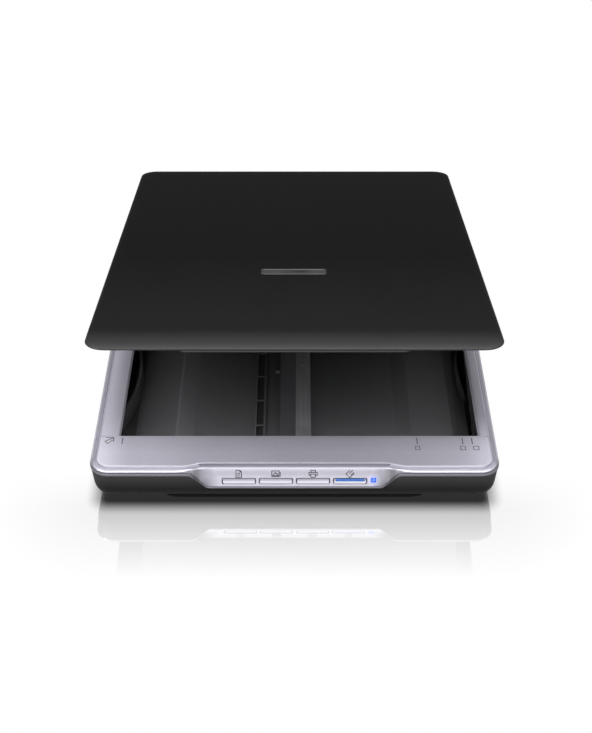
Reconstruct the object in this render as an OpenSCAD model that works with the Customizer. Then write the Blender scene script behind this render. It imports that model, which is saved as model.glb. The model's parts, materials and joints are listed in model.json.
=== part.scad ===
// Flatbed scanner for sheets up to letter and A4 size.
// Origin: centre of the footprint on the table. X to the right, Y to the rear, Z up.
// The lid is drawn part open; its own shapes are written as if it were shut.

/* [Body] */
// Overall width of the base
body_w = 251.4; // [250:0.2:253]
// Overall depth of the base
body_d = 366; // [365:0.5:368]
// Height of the top deck above the table
deck_z = 31.2; // [31:0.1:31.6]
// Height of the seam between the black case and the silver frame
seam_z = 26.4; // [26:0.1:26.8]
// Plan radius of the base's corners
body_r = 12; // [11.5:0.5:14]
// Y of the seam between the side frame and the front cover
cover_seam_y = -150.3; // [-151:0.1:-150]

/* [Scan window] */
// Clear width of the window
window_w = 223.6; // [220:0.2:224]
// Clear length of the window
window_l = 301.5; // [299:0.5:302.5]
// How far the window sits to the right of centre
window_x = 3; // [2:0.1:4]
// Y of the window's front edge
window_y = -148.8; // [-149.5:0.1:-148.5]
// Thickness of the scan glass
glass_t = 2.8; // [2:0.1:3]

/* [Control panel] */
// Half width of the panel's lower edge
bib_low_x = 53.5; // [53:0.5:55]
// Half width of the panel's notch where it meets the seam
bib_high_x = 64; // [63:0.5:66]
// Height of the panel's lower edge
bib_z = 16.8; // [16.5:0.1:17.2]
// Lean of the panel back from upright, in degrees
bib_lean = 20; // [19:0.5:21]
// Width of one push button
button_w = 19.9; // [19:0.1:20.6]
// Centre distance of neighbouring buttons
button_pitch = 22.7; // [22.7:0.1:22.9]
// Height of one push button along the panel
button_h = 3.4; // [3.2:0.1:4]
// Travel of a push button
button_travel = 0.5; // [0.3:0.1:0.5]

/* [Lid] */
// Width of the lid
lid_w = 246.8; // [244:0.2:247]
// Length of the lid, front edge to rear edge
lid_l = 355.8; // [354:0.2:356]
// Height of the lid's top face when shut
lid_top_z = 38.5; // [38.3:0.1:39]
// Plan radius of the lid's corners
lid_r = 12; // [12:0.5:16]
// Angle at which the lid is drawn, in degrees
lid_open = 12.27; // [0:0.01:90]

/* [Drive] */
// Y of the sensor's line at its parked place
home_y = 156; // [154:0.5:156]
// Module of the rack and of the gear that runs on it
rack_module = 0.8; // [0.8:0.1:0.8]

/* [Hidden] */
$fn = 64;
gap = 0.05;                    // running clearance at one side of a sliding fit
round_gap = 0.05;              // radial clearance of a shaft in its bore
half_w = body_w / 2;
half_d = body_d / 2;
floor_low = 2;                 // underside of the middle keel
floor_high = 5;                // underside of the side bays
floor_t = 2.2;                 // thickness of the floor
keel_x = 69;                   // half width of the keel's flat
keel_ramp = 10;                // width of the ramp beside the keel
inner_low = floor_low + floor_t;
inner_high = floor_high + floor_t;
wall_in = 0.35;                // set-back of the case wall at the seam
wall_lean = 6;                 // inward lean of the wall, in degrees
wall_bend = 11;                // radius that turns the wall into the floor
bend_z = floor_high + wall_bend;
bend_in = wall_in + (seam_z - bend_z) * tan(wall_lean) + wall_bend / cos(wall_lean);
rim_in = 11.4;                 // how far the swept profiles reach inward, less than the corner radius
deck_low = 29;                 // underside of the deck plate
glass_top = 30;
glass_low = glass_top - glass_t;
tape_t = 0.15;
glass_w = window_w + 8.4;
glass_y0 = window_y - 4.2;
glass_y1 = window_y + window_l + 9.4;
ledge_y = 170;                 // start of the lowered rear strip
ledge_z = 30.2;
bib_wall = 2.2;
bib_top_z = 29.6;
bib_top_y = -half_d + (bib_top_z - bib_z) * tan(bib_lean);
panel_z = 21.45;               // height of the button row's centre on the panel
panel_y = -half_d + (panel_z - bib_z) * tan(bib_lean);
button_x = [-1.5, -0.5, 0.5, 1.5] * button_pitch;
led_x = 48.3;
led_up = 0.5;                  // lamp's centre above the button row's, up the slope
led_w = 3;
led_h = 3;
board_n = 6.6;                 // depth of the button board behind the panel face
hinge_y = 176.5;
hinge_z = 34.5;
hinge_x = 82;
barrel_r = 2.4;
hinge_pin_r = 1.2;
post_half = 4.9;               // half width of the post's knuckle
knuckle_in = 5.2;              // lid knuckles start here, from the hinge's centre
knuckle_out = 9;
stem_w = 16;
stem_y0 = 170.2;
stem_y1 = 174.4;
stem_z0 = 9.5;
lid_rear = hinge_y + 3;
lid_front = lid_rear - lid_l;
lid_mid = (lid_front + lid_rear) / 2;
rack_face_x = -9;              // pitch line of the rack's teeth
rack_back_x = 0.5;
rack_low = 5.2;
flange_z = 9.8;
track_z = 11;                  // top of the rack's flange and of the guide rail
rack_front = -164;
rack_rear = 170;
rail_x0 = 0.7;
rail_x1 = 10.7;
pitch_angle = 20;              // pressure angle of every gear
drive_small_z = 16;
drive_large_z = 34;
compound_small_z = 14;
compound_large_z = 36;
pinion_z = 14;
mid_module = 0.6;              // drive gear to compound gear
fine_module = 0.5;             // compound gear to motor pinion
drive_x = rack_face_x - rack_module * drive_small_z / 2;
compound_x = drive_x - mid_module * (drive_large_z + compound_small_z) / 2;
motor_x = compound_x - fine_module * (compound_large_z + pinion_z) / 2;
plate_z = 15.4;                // underside of the carriage plate
tray_z = 17;                   // top of the carriage plate
cis_low = 18.2;
cis_top = 26.6;
cis_x0 = -112;
cis_x1 = 116;
pad_top = glass_low - gap;
foot_x = 98;
foot_y = 150;
foot_h = 5.6;
case_screws_at = [[-106, -168], [106, -168], [-60, -168], [60, -168], [-108, 170.6], [108, 170.6]];
boss_top = 10;
usb_x = 46;
usb_mouth_y = 177;
board_z = 6.2;
board_t = 1.6;
stripe_in = 1.1;               // start button's end to its stripe
stripe_h = 1.6;
badge_w = 43.2;
badge_h = 10.4;
badge_x = -0.6;
badge_y = -54;
badge_t = 0.25;
lid_screws_at = [[-100, -160], [0, -160], [100, -160], [-50, 162], [50, 162]];
SILVER = "#b9b8c6";
BLACK = "#242426";

// ---------- shapes that repeat ----------

// Rectangle with round corners, centred
module rounded_rect(w, d, r) {
    square([w - 2 * r, d], center = true);
    square([w, d - 2 * r], center = true);
    for (sx = [-1, 1], sy = [-1, 1])
        translate([sx * (w / 2 - r), sy * (d / 2 - r)]) circle(r);
}

// Plate that follows the base's outline, moved in by inset
module base_plate(inset, z0, z1) {
    r = max(body_r - inset, 2);
    translate([0, 0, z0]) linear_extrude(z1 - z0)
        rounded_rect(body_w - 2 * inset, body_d - 2 * inset, r);
}

// Sweeps a profile round a rounded rectangle. Profile x is outward from the outline, y is height.
module swept_rim(w, d, r) {
    for (i = [0:3]) {
        run = (i % 2 == 0) ? d : w;
        reach = (i % 2 == 0) ? w : d;
        rotate([0, 0, 90 * i]) {
            translate([reach / 2, 0, 0]) rotate([90, 0, 0])
                linear_extrude(run - 2 * r, center = true) children();
            translate([reach / 2 - r, run / 2 - r, 0])
                rotate_extrude(angle = 90) translate([r, 0]) children();
        }
    }
}

// Extrudes a front-view outline (x, z) between two depths
module front_prism(y0, y1) {
    translate([0, y1, 0]) rotate([90, 0, 0]) linear_extrude(y1 - y0) children();
}

// Extrudes a side-view outline (y, z) between two x
module side_prism(x0, x1) {
    translate([x0, 0, 0]) rotate([90, 0, 90]) linear_extrude(x1 - x0) children();
}

module box(x0, x1, y0, y1, z0, z1) {
    translate([x0, y0, z0]) cube([x1 - x0, y1 - y0, z1 - z0]);
}

module rod(x, y, r, z0, z1) {
    translate([x, y, z0]) cylinder(h = z1 - z0, r = r);
}

// Frame of the leaning control panel: x along it, y into the body, z up its slope
module on_panel(x) {
    translate([x, panel_y, panel_z]) rotate([-bib_lean, 0, 0]) children();
}

// Turns a shape drawn for the shut lid to the drawn angle
module lid_turn() {
    translate([0, hinge_y, hinge_z]) rotate([-lid_open, 0, 0])
        translate([0, -hinge_y, -hinge_z]) children();
}

// Cross head screw, head down: head under z, shank up
module screw_up(x, y, head_r, head_h, shank_r, length, z) {
    difference() {
        union() {
            rod(x, y, head_r, z - head_h, z);
            rod(x, y, shank_r, z - gap, z + length);
        }
        for (a = [0, 90])
            translate([x, y, z - head_h]) rotate([0, 0, a])
                cube([head_r * 1.1, 0.5, head_h], center = true);
    }
}

// ---------- gear teeth ----------

function involute(base_r, a) = base_r * [
    cos(a) + a * PI / 180 * sin(a),
    sin(a) - a * PI / 180 * cos(a)];
function roll_at(base_r, r) = sqrt(max((r / base_r) * (r / base_r) - 1, 0)) * 180 / PI;
function turned(p, a) = [p[0] * cos(a) - p[1] * sin(a), p[0] * sin(a) + p[1] * cos(a)];
function polar_angle(p) = atan2(p[1], p[0]);

// Involute gear outline with a tooth centred on +x
module gear_outline(mod, teeth, backlash = 0.1) {
    pitch_r = mod * teeth / 2;
    base_r = pitch_r * cos(pitch_angle);
    tip_r = pitch_r + 0.9 * mod;
    root_r = pitch_r - 1.15 * mod;
    start_r = max(base_r, root_r);
    steps = 4;
    half_tooth = 90 / teeth - backlash / 2 / pitch_r * 180 / PI;
    at_pitch = polar_angle(involute(base_r, roll_at(base_r, pitch_r)));
    flank = [for (i = [0:steps])
        turned(involute(base_r, roll_at(base_r, start_r + (tip_r - start_r) * i / steps)),
            -half_tooth - at_pitch)];
    root_a = polar_angle(flank[0]);
    half = concat([[root_r * cos(root_a), root_r * sin(root_a)]], flank);
    mirrored = [for (i = [len(half) - 1:-1:0]) [half[i][0], -half[i][1]]];
    polygon([for (t = [0:teeth - 1], p = concat(half, mirrored)) turned(p, t * 360 / teeth)]);
}

module gear(mod, teeth, z0, z1, phase = 0) {
    translate([0, 0, z0]) linear_extrude(z1 - z0) rotate(phase) gear_outline(mod, teeth);
}

// ---------- base ----------

// Wall of the case: leans in from the seam, then turns into the floor in one round sweep
module case_profile() {
    sweep_steps = 13;
    last_a = 83;
    polygon(concat(
        [[-wall_in, seam_z]],
        [for (i = [0:sweep_steps])
            let (a = wall_lean + (last_a - wall_lean) * i / sweep_steps)
            [-bend_in + wall_bend * cos(a), bend_z - wall_bend * sin(a)]],
        [[-rim_in, floor_high], [-rim_in, seam_z]]));
}

// Deeper middle of the underside, with its own soft lower edge
module keel() {
    intersection() {
        union() {
            swept_rim(body_w, body_d, body_r)
                polygon([[-6.9, 8], [-7.1, 4.2], [-7.5, 3], [-8.3, 2.3], [-9.6, floor_low],
                    [-rim_in, floor_low], [-rim_in, 8]]);
            base_plate(rim_in - 0.5, floor_low, 8);
        }
        front_prism(-half_d, half_d) polygon([[-keel_x - keel_ramp, floor_high],
            [-keel_x, floor_low], [keel_x, floor_low], [keel_x + keel_ramp, floor_high],
            [keel_x + keel_ramp, 8], [-keel_x - keel_ramp, 8]]);
    }
}

// Front view of the room inside the case, whose floor steps down over the keel
module room_section() {
    x0 = keel_x - 2.6;
    polygon([[-130, inner_high], [-x0 - keel_ramp, inner_high], [-x0, inner_low],
        [x0, inner_low], [x0 + keel_ramp, inner_high], [130, inner_high], [130, 40],
        [-130, 40]]);
}

module panel_notch(y0, y1) {
    front_prism(y0, y1) polygon([[-bib_low_x, bib_z], [bib_low_x, bib_z],
        [bib_high_x, seam_z], [bib_high_x, seam_z + 1], [-bib_high_x, seam_z + 1],
        [-bib_high_x, seam_z]]);
}

module bay_arc(x, y, side, z1) {
    arc_r = 140;
    intersection() {
        translate([x + side * arc_r, y, inner_high - 0.5]) difference() {
            cylinder(h = z1 - inner_high + 0.5, r = arc_r, $fn = 180);
            translate([0, 0, -1]) cylinder(h = 40, r = arc_r - 1.8, $fn = 180);
        }
        inner_room(0.6);
    }
}

// Room inside the case walls, which step outward as they rise
module inner_room(extra) {
    base_plate(9.5 - extra, 0, 8.1);
    base_plate(7.3 - extra, 8, 13.1);
    base_plate(5.2 - extra, 13, 20.1);
    base_plate(3.4 - extra, 20, 30);
}

module floor_ladder() {
    for (x = [-26.8, -20.6]) box(x, x + 1.4, -160, 160, inner_low - 0.5, 5.8);
    for (i = [0:11]) {
        rung_y = -134.2 + i * 26.6;
        box(-26, -20, rung_y - 0.7, rung_y + 0.7, inner_low - 0.5, 5.4);
    }
}

module lower_case() {
    color(BLACK) {
        difference() {
            union() {
                swept_rim(body_w, body_d, body_r) case_profile();
                base_plate(rim_in - 0.5, floor_high, seam_z);
                keel();
            }
            intersection() {
                front_prism(-half_d, half_d) room_section();
                inner_room(0);
            }
            panel_notch(-half_d - 1, -half_d + 8);
            for (p = case_screws_at) {
                rod(p[0], p[1], 1.6, 0, 12);
                rod(p[0], p[1], 3.1, 0, inner_z(p[0]) + 0.4);
            }
            for (sx = [-1, 1], sy = [-1, 1])
                rod(sx * foot_x, sy * foot_y, 7.1, floor_high - 1, floor_high + 0.7);
            box(usb_x - 5.2, usb_x + 5.2, 170, 190, board_z + board_t - 0.1, 12.1);
            box(-35, 35, 60, 100, 0, floor_low + 0.3);
        }
        for (p = case_screws_at)
            difference() {
                rod(p[0], p[1], 4.4, inner_z(p[0]) - 0.5, boss_top);
                rod(p[0], p[1], 1.6, 0, 12);
                rod(p[0], p[1], 3.1, 0, inner_z(p[0]) + 0.4);
            }
        bay_arc(-103.5, -68, -1, 20);
        bay_arc(110, -58, 1, 13.7);
        floor_ladder();
        for (y = [-150, -50, 50, 150])
            difference() {
                box(-13.5, 10.7, y - 4, y + 4, inner_low - 0.5, rack_low);
                rod(-11.6, y, 0.9, 3, 9);
                rod(5.7, y, 0.9, 3, 9);
            }
        for (x = [30, 62], y = [100, 162])
            difference() {
                rod(x, y, 2.4, inner_low - 0.5, board_z);
                rod(x, y, 0.9, inner_low, 8);
            }
        difference() {
            base_plate(2.7, seam_z - 2, seam_z + 0.7);
            base_plate(3.9, 0, 40);
            panel_notch(-half_d - 1, -half_d + 8);
            box(-70, 70, -half_d, -half_d + 8, 20, 40);
        }
    }
}

// Height of the case's inner floor at a place
function inner_z(x) = abs(x) < keel_x - 2.6 ? inner_low : inner_high;

module rim_profile() {
    polygon([[0, seam_z], [0, 28.2], [-0.3, 28.9], [-0.9, 29.35], [-1.8, 29.5],
        [-2.7, 29.3], [-3.3, 28.9], [-3.9, 28.9], [-4.2, 29.4], [-4.35, 30.8],
        [-4.6, 31.1], [-5.2, deck_z], [-rim_in, deck_z], [-rim_in, deck_low],
        [-6, deck_low], [-6, 27.2], [-2.5, 27.2], [-2.5, seam_z]]);
}

module panel_block() {
    panel_notch(-half_d, -half_d + 9.5);
    box(-bib_high_x - 2, bib_high_x + 2, -half_d + 3, -half_d + 9.5, seam_z, deck_z);
}

// Air in front of the leaning panel, with a slanted cheek at each end
module panel_air() {
    hull() {
        front_prism(-half_d - 8, -half_d) polygon([[-bib_low_x, bib_z], [bib_low_x, bib_z],
            [68.5, 32], [-68.5, 32]]);
        front_prism(bib_top_y - 0.01, bib_top_y)
            polygon([[-58, bib_top_z], [58, bib_top_z], [60, 32], [-60, 32]]);
    }
}

// Step behind the panel's upper edge, where the deck draws back
module panel_step() {
    translate([0, 0, 29.3]) linear_extrude(5) polygon([[-66, -half_d + 4.3],
        [-58.5, -half_d + 7], [58.5, -half_d + 7], [66, -half_d + 4.3], [66, -190],
        [-66, -190]]);
}

module panel_hollow() {
    inner_shift = bib_wall / cos(bib_lean);
    side_prism(-52, 52) polygon([[-half_d + inner_shift + 0.3, bib_z - 1],
        [-half_d + inner_shift + 0.3, bib_z + 0.9], [bib_top_y + inner_shift - 0.2, 28.4],
        [-half_d + 12, 28.4], [-half_d + 12, bib_z - 1]]);
}

module top_shell() {
    difference() {
        union() {
            swept_rim(body_w, body_d, body_r) rim_profile();
            base_plate(rim_in - 0.5, deck_low, deck_z);
            panel_block();
            for (p = case_screws_at) rod(p[0], p[1], 3, boss_top + gap, deck_low + 0.5);
            for (s = [-1, 1]) post_sleeve(s * hinge_x);
        }
        panel_air();
        panel_step();
        panel_hollow();
        window_cut();
        box(-130, 130, ledge_y, half_d - 4, ledge_z, 40);
        for (p = case_screws_at) rod(p[0], p[1], 1.25, 5, 24);
        for (s = [-1, 1])
            box(s * hinge_x - stem_w / 2 - gap, s * hinge_x + stem_w / 2 + gap,
                stem_y0 - gap, stem_y1 + gap, 5, 40);
        for (x = button_x) on_panel(x)
            box(-button_w / 2 - 0.4, button_w / 2 + 0.4, -3, 4,
                -button_h / 2 - 0.2, button_h / 2 + 0.4);
        on_panel(led_x)
            box(-led_w / 2 - gap, led_w / 2 + gap, -3, 4, led_up - led_h / 2 - gap,
                led_up + led_h / 2 + gap);
    }
}

module post_sleeve(x) {
    box(x - stem_w / 2 - 1.6, x + stem_w / 2 + 1.6, stem_y0 - 1.5, stem_y1 + 1.4, 14.5, deck_low + 0.5);
}

module window_cut() {
    wx0 = window_x - window_w / 2;
    wy1 = window_y + window_l;
    bevel = 1.1;
    translate([window_x, (window_y + wy1) / 2, 0]) {
        translate([0, 0, 20]) linear_extrude(20) rounded_rect(window_w, window_l, 1.2);
        for (a = [0:3]) rotate([0, 0, 90 * a]) {
            run = (a % 2 == 0) ? window_l : window_w;
            reach = (a % 2 == 0) ? window_w : window_l;
            front_prism(-run / 2 - 0.1, run / 2 + 0.1) polygon([[reach / 2 - 3, glass_top],
                [reach / 2, glass_top + tape_t], [reach / 2 + bevel, deck_z],
                [reach / 2 + bevel, 40], [reach / 2 - 3, 40]]);
        }
    }
    box(window_x - glass_w / 2 - gap, window_x + glass_w / 2 + gap, glass_y0 - gap,
        glass_y1 + gap, 20, glass_top + tape_t);
}

module seam_half(front) {
    if (front) box(-200, 200, -200, cover_seam_y - 0.1, 0, 60);
    else box(-200, 200, cover_seam_y + 0.1, 200, 0, 60);
}

module side_frame() {
    color(SILVER) intersection() {
        top_shell();
        seam_half(false);
    }
}

module front_cover() {
    color(SILVER) intersection() {
        top_shell();
        seam_half(true);
    }
}

module scan_glass() {
    color([0.75, 0.85, 0.85, 0.35])
        box(window_x - glass_w / 2, window_x + glass_w / 2, glass_y0, glass_y1,
            glass_low, glass_top);
}

module glass_tape() {
    color("#303030") difference() {
        box(window_x - glass_w / 2, window_x + glass_w / 2, glass_y0,
            window_y + window_l + 2, glass_top, glass_top + tape_t);
        box(window_x - window_w / 2 - 1, window_x + window_w / 2 + 1, window_y - 1,
            window_y + window_l + 1, 29, 31);
    }
}

module calibration_strip() {
    color("white") box(window_x - 111, window_x + 111, home_y - 0.8, home_y + 4.5,
        glass_top, glass_top + tape_t);
}

module guide_rail() {
    color("#9a9aa0") difference() {
        box(rail_x0, rail_x1, rack_front, rack_rear, rack_low, track_z);
        box(rail_x0 + 1.2, rail_x1 - 1.2, rack_front - 1, rack_rear + 1, rack_low - 1, track_z - 1.2);
        for (y = [-150, -50, 50, 150]) rod(5.7, y, 1.25, 4, 20);
    }
}

module drive_rack() {
    pitch = PI * rack_module;
    slack = 0.06;
    quarter = pitch / 4 - slack / 2;
    lean = tan(pitch_angle);
    tip = 0.9 * rack_module;
    root = 1.15 * rack_module;
    count = floor((rack_rear - home_y - 2) / pitch) + floor((home_y - rack_front - 2) / pitch);
    first = home_y - pitch / 2 - (floor((home_y - rack_front - 2) / pitch) - 1) * pitch;
    color("#3c3c3f") {
        translate([0, 0, rack_low]) linear_extrude(flange_z - rack_low) {
            translate([rack_face_x + root, rack_front])
                square([rack_back_x - rack_face_x - root, rack_rear - rack_front]);
            for (i = [0:count - 1]) translate([rack_face_x, first + i * pitch])
                polygon([[root + 0.2, -quarter - root * lean], [-tip, -quarter + tip * lean],
                    [-tip, quarter - tip * lean], [root + 0.2, quarter + root * lean]]);
        }
        box(-9.6, rack_back_x, rack_front, rack_rear, flange_z - 0.2, track_z);
        difference() {
            for (y = [-150, -50, 50, 150])
                box(-13.2, -8, y - 2.6, y + 2.6, rack_low, rack_low + 0.9);
            for (y = [-150, -50, 50, 150]) rod(-11.6, y, 1.05, 4, 9);
        }
    }
}

module track_screws() {
    color("#8c8c90") for (y = [-150, -50, 50, 150]) {
        rod(5.7, y, 1.9, track_z - 1.2 - 1.6, track_z - 1.2 - 0.6);
        rod(5.7, y, 0.85, 4.3, track_z - 1.9);
        rod(-11.6, y, 0.85, 4.3, rack_low + 1);
        rod(-11.6, y, 1.5, rack_low + 0.9, rack_low + 1.3);
    }
}

module main_board() {
    color("#1f6b3a") difference() {
        box(26, 66, 96, 171, board_z, board_z + board_t);
        for (x = [30, 62], y = [100, 162]) rod(x, y, 1.1, 0, 20);
    }
}

module board_chips() {
    top = board_z + board_t;
    color("#1b1b1b") {
        box(38, 52, 118, 132, top, top + 1.3);
        box(34, 42, 142, 150, top, top + 1.1);
        box(54, 59, 108, 116, top, top + 1.1);
        box(54, 62, 140, 152, top, top + 2.4);
        box(34, 54, 97, 101, top, top + 2);
        rod(34, 112, 2.5, top, top + 3.2);
        rod(47, 156, 2, top, top + 2.6);
    }
}

module usb_port() {
    z0 = board_z + board_t;
    color("#c8c8cc") difference() {
        box(usb_x - 5, usb_x + 5, 165, usb_mouth_y, z0, z0 + 4.1);
        box(usb_x - 4.2, usb_x + 4.2, 170, 180, z0 + 0.5, z0 + 3.6);
    }
    color("#202020") box(usb_x - 3, usb_x + 3, 169, 175.5, z0 + 1.6, z0 + 2.4);
}

module board_screws() {
    color("#8c8c90") for (x = [30, 62], y = [100, 162]) {
        rod(x, y, 2, board_z + board_t, board_z + board_t + 1);
        rod(x, y, 0.85, 4.4, board_z + board_t + 0.5);
    }
}

module button_board() {
    color("#1f6b3a") on_panel(2) box(-50, 50, board_n, board_n + 1.2, -4.4, 4.4);
}

module tact_switches() {
    color("#d0d0d0") for (x = button_x) on_panel(x) {
        box(-3, 3, board_n - 1.2, board_n, -3, 3);
        translate([0, board_n - 1, 0]) rotate([90, 0, 0]) cylinder(h = 0.45, r = 1.5);
    }
}

module led_lens() {
    color("#5c8cff") on_panel(led_x) {
        box(-led_w / 2, led_w / 2, -0.15, 4, led_up - led_h / 2, led_up + led_h / 2);
        box(-1, 1, 3, board_n, led_up - 1, led_up + 1);
    }
}

// Ribbon from the button board, through the guide rail's channel, out under its side to the main board
module panel_cable() {
    cable_x0 = 6.8;
    cable_x1 = 9.3;
    turn_y = 105;
    film = 0.25;
    low = inner_low + 0.55;
    color("#e8e8e8") {
        side_prism(cable_x0, cable_x1) polygon([[-168.9, rack_low + gap], [60, rack_low + gap],
            [64, low], [turn_y + 2.5, low], [turn_y + 2.5, low + film], [64, low + film],
            [60, rack_low + gap + film], [-168.4, rack_low + gap + film], [-168.4, 15.6],
            [-171.4, 17.2], [-171.6, 16.8], [-168.9, 15.3]]);
        box(cable_x0, 27.5, turn_y, turn_y + 2.5, low, low + film);
    }
}

module sensor_cable() {
    color("#e8e8e8") box(36, 50, 4, 96.5, inner_low + 0.1, inner_low + 0.45);
}

module rubber_feet() {
    color("#161616") for (sx = [-1, 1], sy = [-1, 1]) translate([sx * foot_x, sy * foot_y, 0])
        rotate_extrude() polygon([[0, 0], [6, 0], [6.7, 0.7], [7, 1.6], [7, foot_h], [0, foot_h]]);
}

module case_screws() {
    color("#3a3a3c") for (p = case_screws_at)
        screw_up(p[0], p[1], 2.9, 1.6, 1.2, 14, inner_z(p[0]) + 0.4);
}

// ---------- hinge ----------

module hinge_posts() {
    color(BLACK) for (s = [-1, 1]) difference() {
        union() {
            box(s * hinge_x - stem_w / 2, s * hinge_x + stem_w / 2, stem_y0, stem_y1, stem_z0, 29.4);
            side_prism(s * hinge_x - post_half, s * hinge_x + post_half)
                polygon([[stem_y0, 29.2], [stem_y1, 29.2], [stem_y1, ledge_z + 0.3],
                    [177, 32.6], [177.6, 34.5], [174.4, 34.2]]);
            translate([s * hinge_x - post_half, hinge_y, hinge_z]) rotate([0, 90, 0])
                cylinder(h = 2 * post_half, r = barrel_r);
        }
        translate([s * hinge_x - 10, hinge_y, hinge_z]) rotate([0, 90, 0])
            cylinder(h = 20, r = hinge_pin_r);
    }
}

module hinge_pins() {
    color("#b0b0b4") for (s = [-1, 1])
        translate([s * hinge_x - knuckle_out + 0.3, hinge_y, hinge_z]) rotate([0, 90, 0])
            cylinder(h = 2 * knuckle_out - 0.6, r = hinge_pin_r);
}

// ---------- lid ----------

module lid_edge_profile() {
    polygon([[0, 36.5], [0, 37.1], [-0.3, 37.7], [-1.1, 38.15], [-2.6, 38.4], [-5, lid_top_z],
        [-11, lid_top_z], [-11, 36.9], [-7.6, 36.9], [-9, 32], [-7.8, 32], [-6, 35.5],
        [-0.8, 36.2]]);
}

module lid_outline(inset) {
    translate([0, lid_mid]) rounded_rect(lid_w - 2 * inset, lid_l - 2 * inset, max(lid_r - inset, 2));
}

module lid_cover() {
    color(BLACK) lid_turn() difference() {
        union() {
            translate([0, lid_mid, 0]) swept_rim(lid_w, lid_l, lid_r) lid_edge_profile();
            translate([0, 0, 36.9]) linear_extrude(lid_top_z - 36.9) lid_outline(10.5);
            translate([0, 0, 36.1]) linear_extrude(1) polygon([[-66.4, lid_front + 4],
                [-66.4, lid_front], [-64.6, lid_front - 1.8], [64.6, lid_front - 1.8],
                [66.4, lid_front], [66.4, lid_front + 4]]);
            for (p = lid_screws_at) rod(p[0], p[1], 2.6, 34 + gap, 37);
        }
        for (s = [-1, 1]) box(s * hinge_x - 11, s * hinge_x + 11, 160, 190, 30, 37.05);
        for (p = lid_screws_at) rod(p[0], p[1], 1.05, 30, 37);
        translate([badge_x, badge_y, lid_top_z - badge_t]) linear_extrude(2)
            rounded_rect(badge_w, badge_h, 2);
    }
}

module lid_inner_plate() {
    color("#2a2a2c") lid_turn() difference() {
        translate([0, 0, 32.6]) linear_extrude(1.4) difference() {
            lid_outline(9.4);
            translate([-200, 168.4]) square([400, 30]);
        }
        for (p = lid_screws_at) rod(p[0], p[1], 1.15, 30, 37);
    }
}

module lid_foam() {
    color("#c9c9c4") lid_turn() box(-105, 111, -145.5, 149, 30.7, 32.6);
}

module document_mat() {
    color("white") lid_turn() box(-106, 112, -146.5, 150, 30.15, 30.7);
}

module hinge_leaves() {
    color(BLACK) lid_turn() for (s = [-1, 1]) difference() {
        union() {
            box(s * hinge_x - knuckle_out, s * hinge_x + knuckle_out, 152, 167, 34 + gap, 36);
            for (k = [-1, 1]) {
                x0 = s * hinge_x + (k > 0 ? knuckle_in : -knuckle_out);
                box(x0, x0 + knuckle_out - knuckle_in, 160, hinge_y, 34 + gap, 36);
                translate([x0, hinge_y, hinge_z]) rotate([0, 90, 0])
                    cylinder(h = knuckle_out - knuckle_in, r = barrel_r);
            }
        }
        translate([s * hinge_x - 12, hinge_y, hinge_z]) rotate([0, 90, 0])
            cylinder(h = 24, r = hinge_pin_r + round_gap);
    }
}

module lid_screws() {
    color("#3a3a3c") lid_turn() {
        for (p = lid_screws_at) {
            rod(p[0], p[1], 2.1, 31.7, 32.6);
            rod(p[0], p[1], 1, 32.3, 36.2);
        }
    }
}

module lid_bumpers() {
    color("#161616") lid_turn() for (p = [[-90, -159], [90, -159], [-100, 158.5], [100, 158.5]])
        rod(p[0], p[1], 3.2, deck_z + 0.06, 32.6);
}

module lid_badge() {
    color("#c4c4c8") lid_turn() translate([badge_x, badge_y, lid_top_z - badge_t])
        linear_extrude(badge_t) rounded_rect(badge_w - 0.1, badge_h - 0.1, 1.95);
}

// ---------- buttons ----------

module button_cap(x, deep = 0) {
    on_panel(x) difference() {
        union() {
            box(-button_w / 2, button_w / 2, -0.35, 2.6, -button_h / 2, button_h / 2);
            box(-button_w / 2 - 0.7, button_w / 2 + 0.7, 2.45, 3.4, -button_h / 2 - 0.4,
                button_h / 2 + 1);
            translate([0, 4.65, 0]) rotate([90, 0, 0]) cylinder(h = 2, r = 1.4);
        }
        if (deep > 0)
            box(-button_w / 2 + stripe_in, button_w / 2 - stripe_in, -1, deep,
                button_h / 2 - stripe_h, button_h);
    }
}

module button_document() { color("#d8d8e4") button_cap(button_x[0]); }
module button_picture() { color("#d8d8e4") button_cap(button_x[1]); }
module button_printer() { color("#d8d8e4") button_cap(button_x[2]); }
module button_start() { color("#d8d8e4") button_cap(button_x[3], 0.7); }

module start_stripe() {
    color("#2a6cb8") on_panel(button_x[3])
        box(-button_w / 2 + stripe_in, button_w / 2 - stripe_in, -0.4, 0.7,
            button_h / 2 - stripe_h, button_h / 2);
}

// ---------- carriage ----------

module carriage_frame() {
    color("#2c2c2e") translate([0, home_y, 0]) difference() {
        union() {
            box(-60, 40, -15, 15, plate_z, tray_z);
            box(-98, 98, -10, 10, plate_z, tray_z);
            for (s = [-1, 1]) box(-98, 98, s * 9.3 - 0.7, s * 9.3 + 0.7, tray_z - 0.1, 21);
            for (s = [-1, 1]) rod(s * 85, 0, 3.6, 11.5, tray_z);
            for (s = [-1, 1]) rod(motor_x, s * 11, 2, 11, plate_z + 0.5);
            rod(drive_x, 0, 2, 14.9, plate_z + 0.5);
        }
        for (s = [-1, 1]) rod(s * 85, 0, 2.7, 12.5, 30);
        for (s = [-1, 1]) rod(motor_x, s * 11, 0.85, 9, 14);
        rod(drive_x, 0, 1, 5, tray_z - 0.4);
        rod(compound_x, 0, 1, 5, tray_z - 0.4);
        rod(motor_x, 0, 4, 13, 30);
    }
}

module rail_shoes() {
    color("#dcdcd4") translate([0, home_y, 0]) for (s = [-1, 1]) {
        y0 = s * 13 - 1.8;
        box(-11.6, 12.6, y0, y0 + 3.6, track_z + gap, plate_z);
        box(-11.6, -9.6 - gap, y0, y0 + 3.6, flange_z + 0.3, track_z + 0.2);
        box(rail_x1 + gap, 12.6, y0, y0 + 3.6, 8, track_z + 0.2);
    }
}

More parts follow.
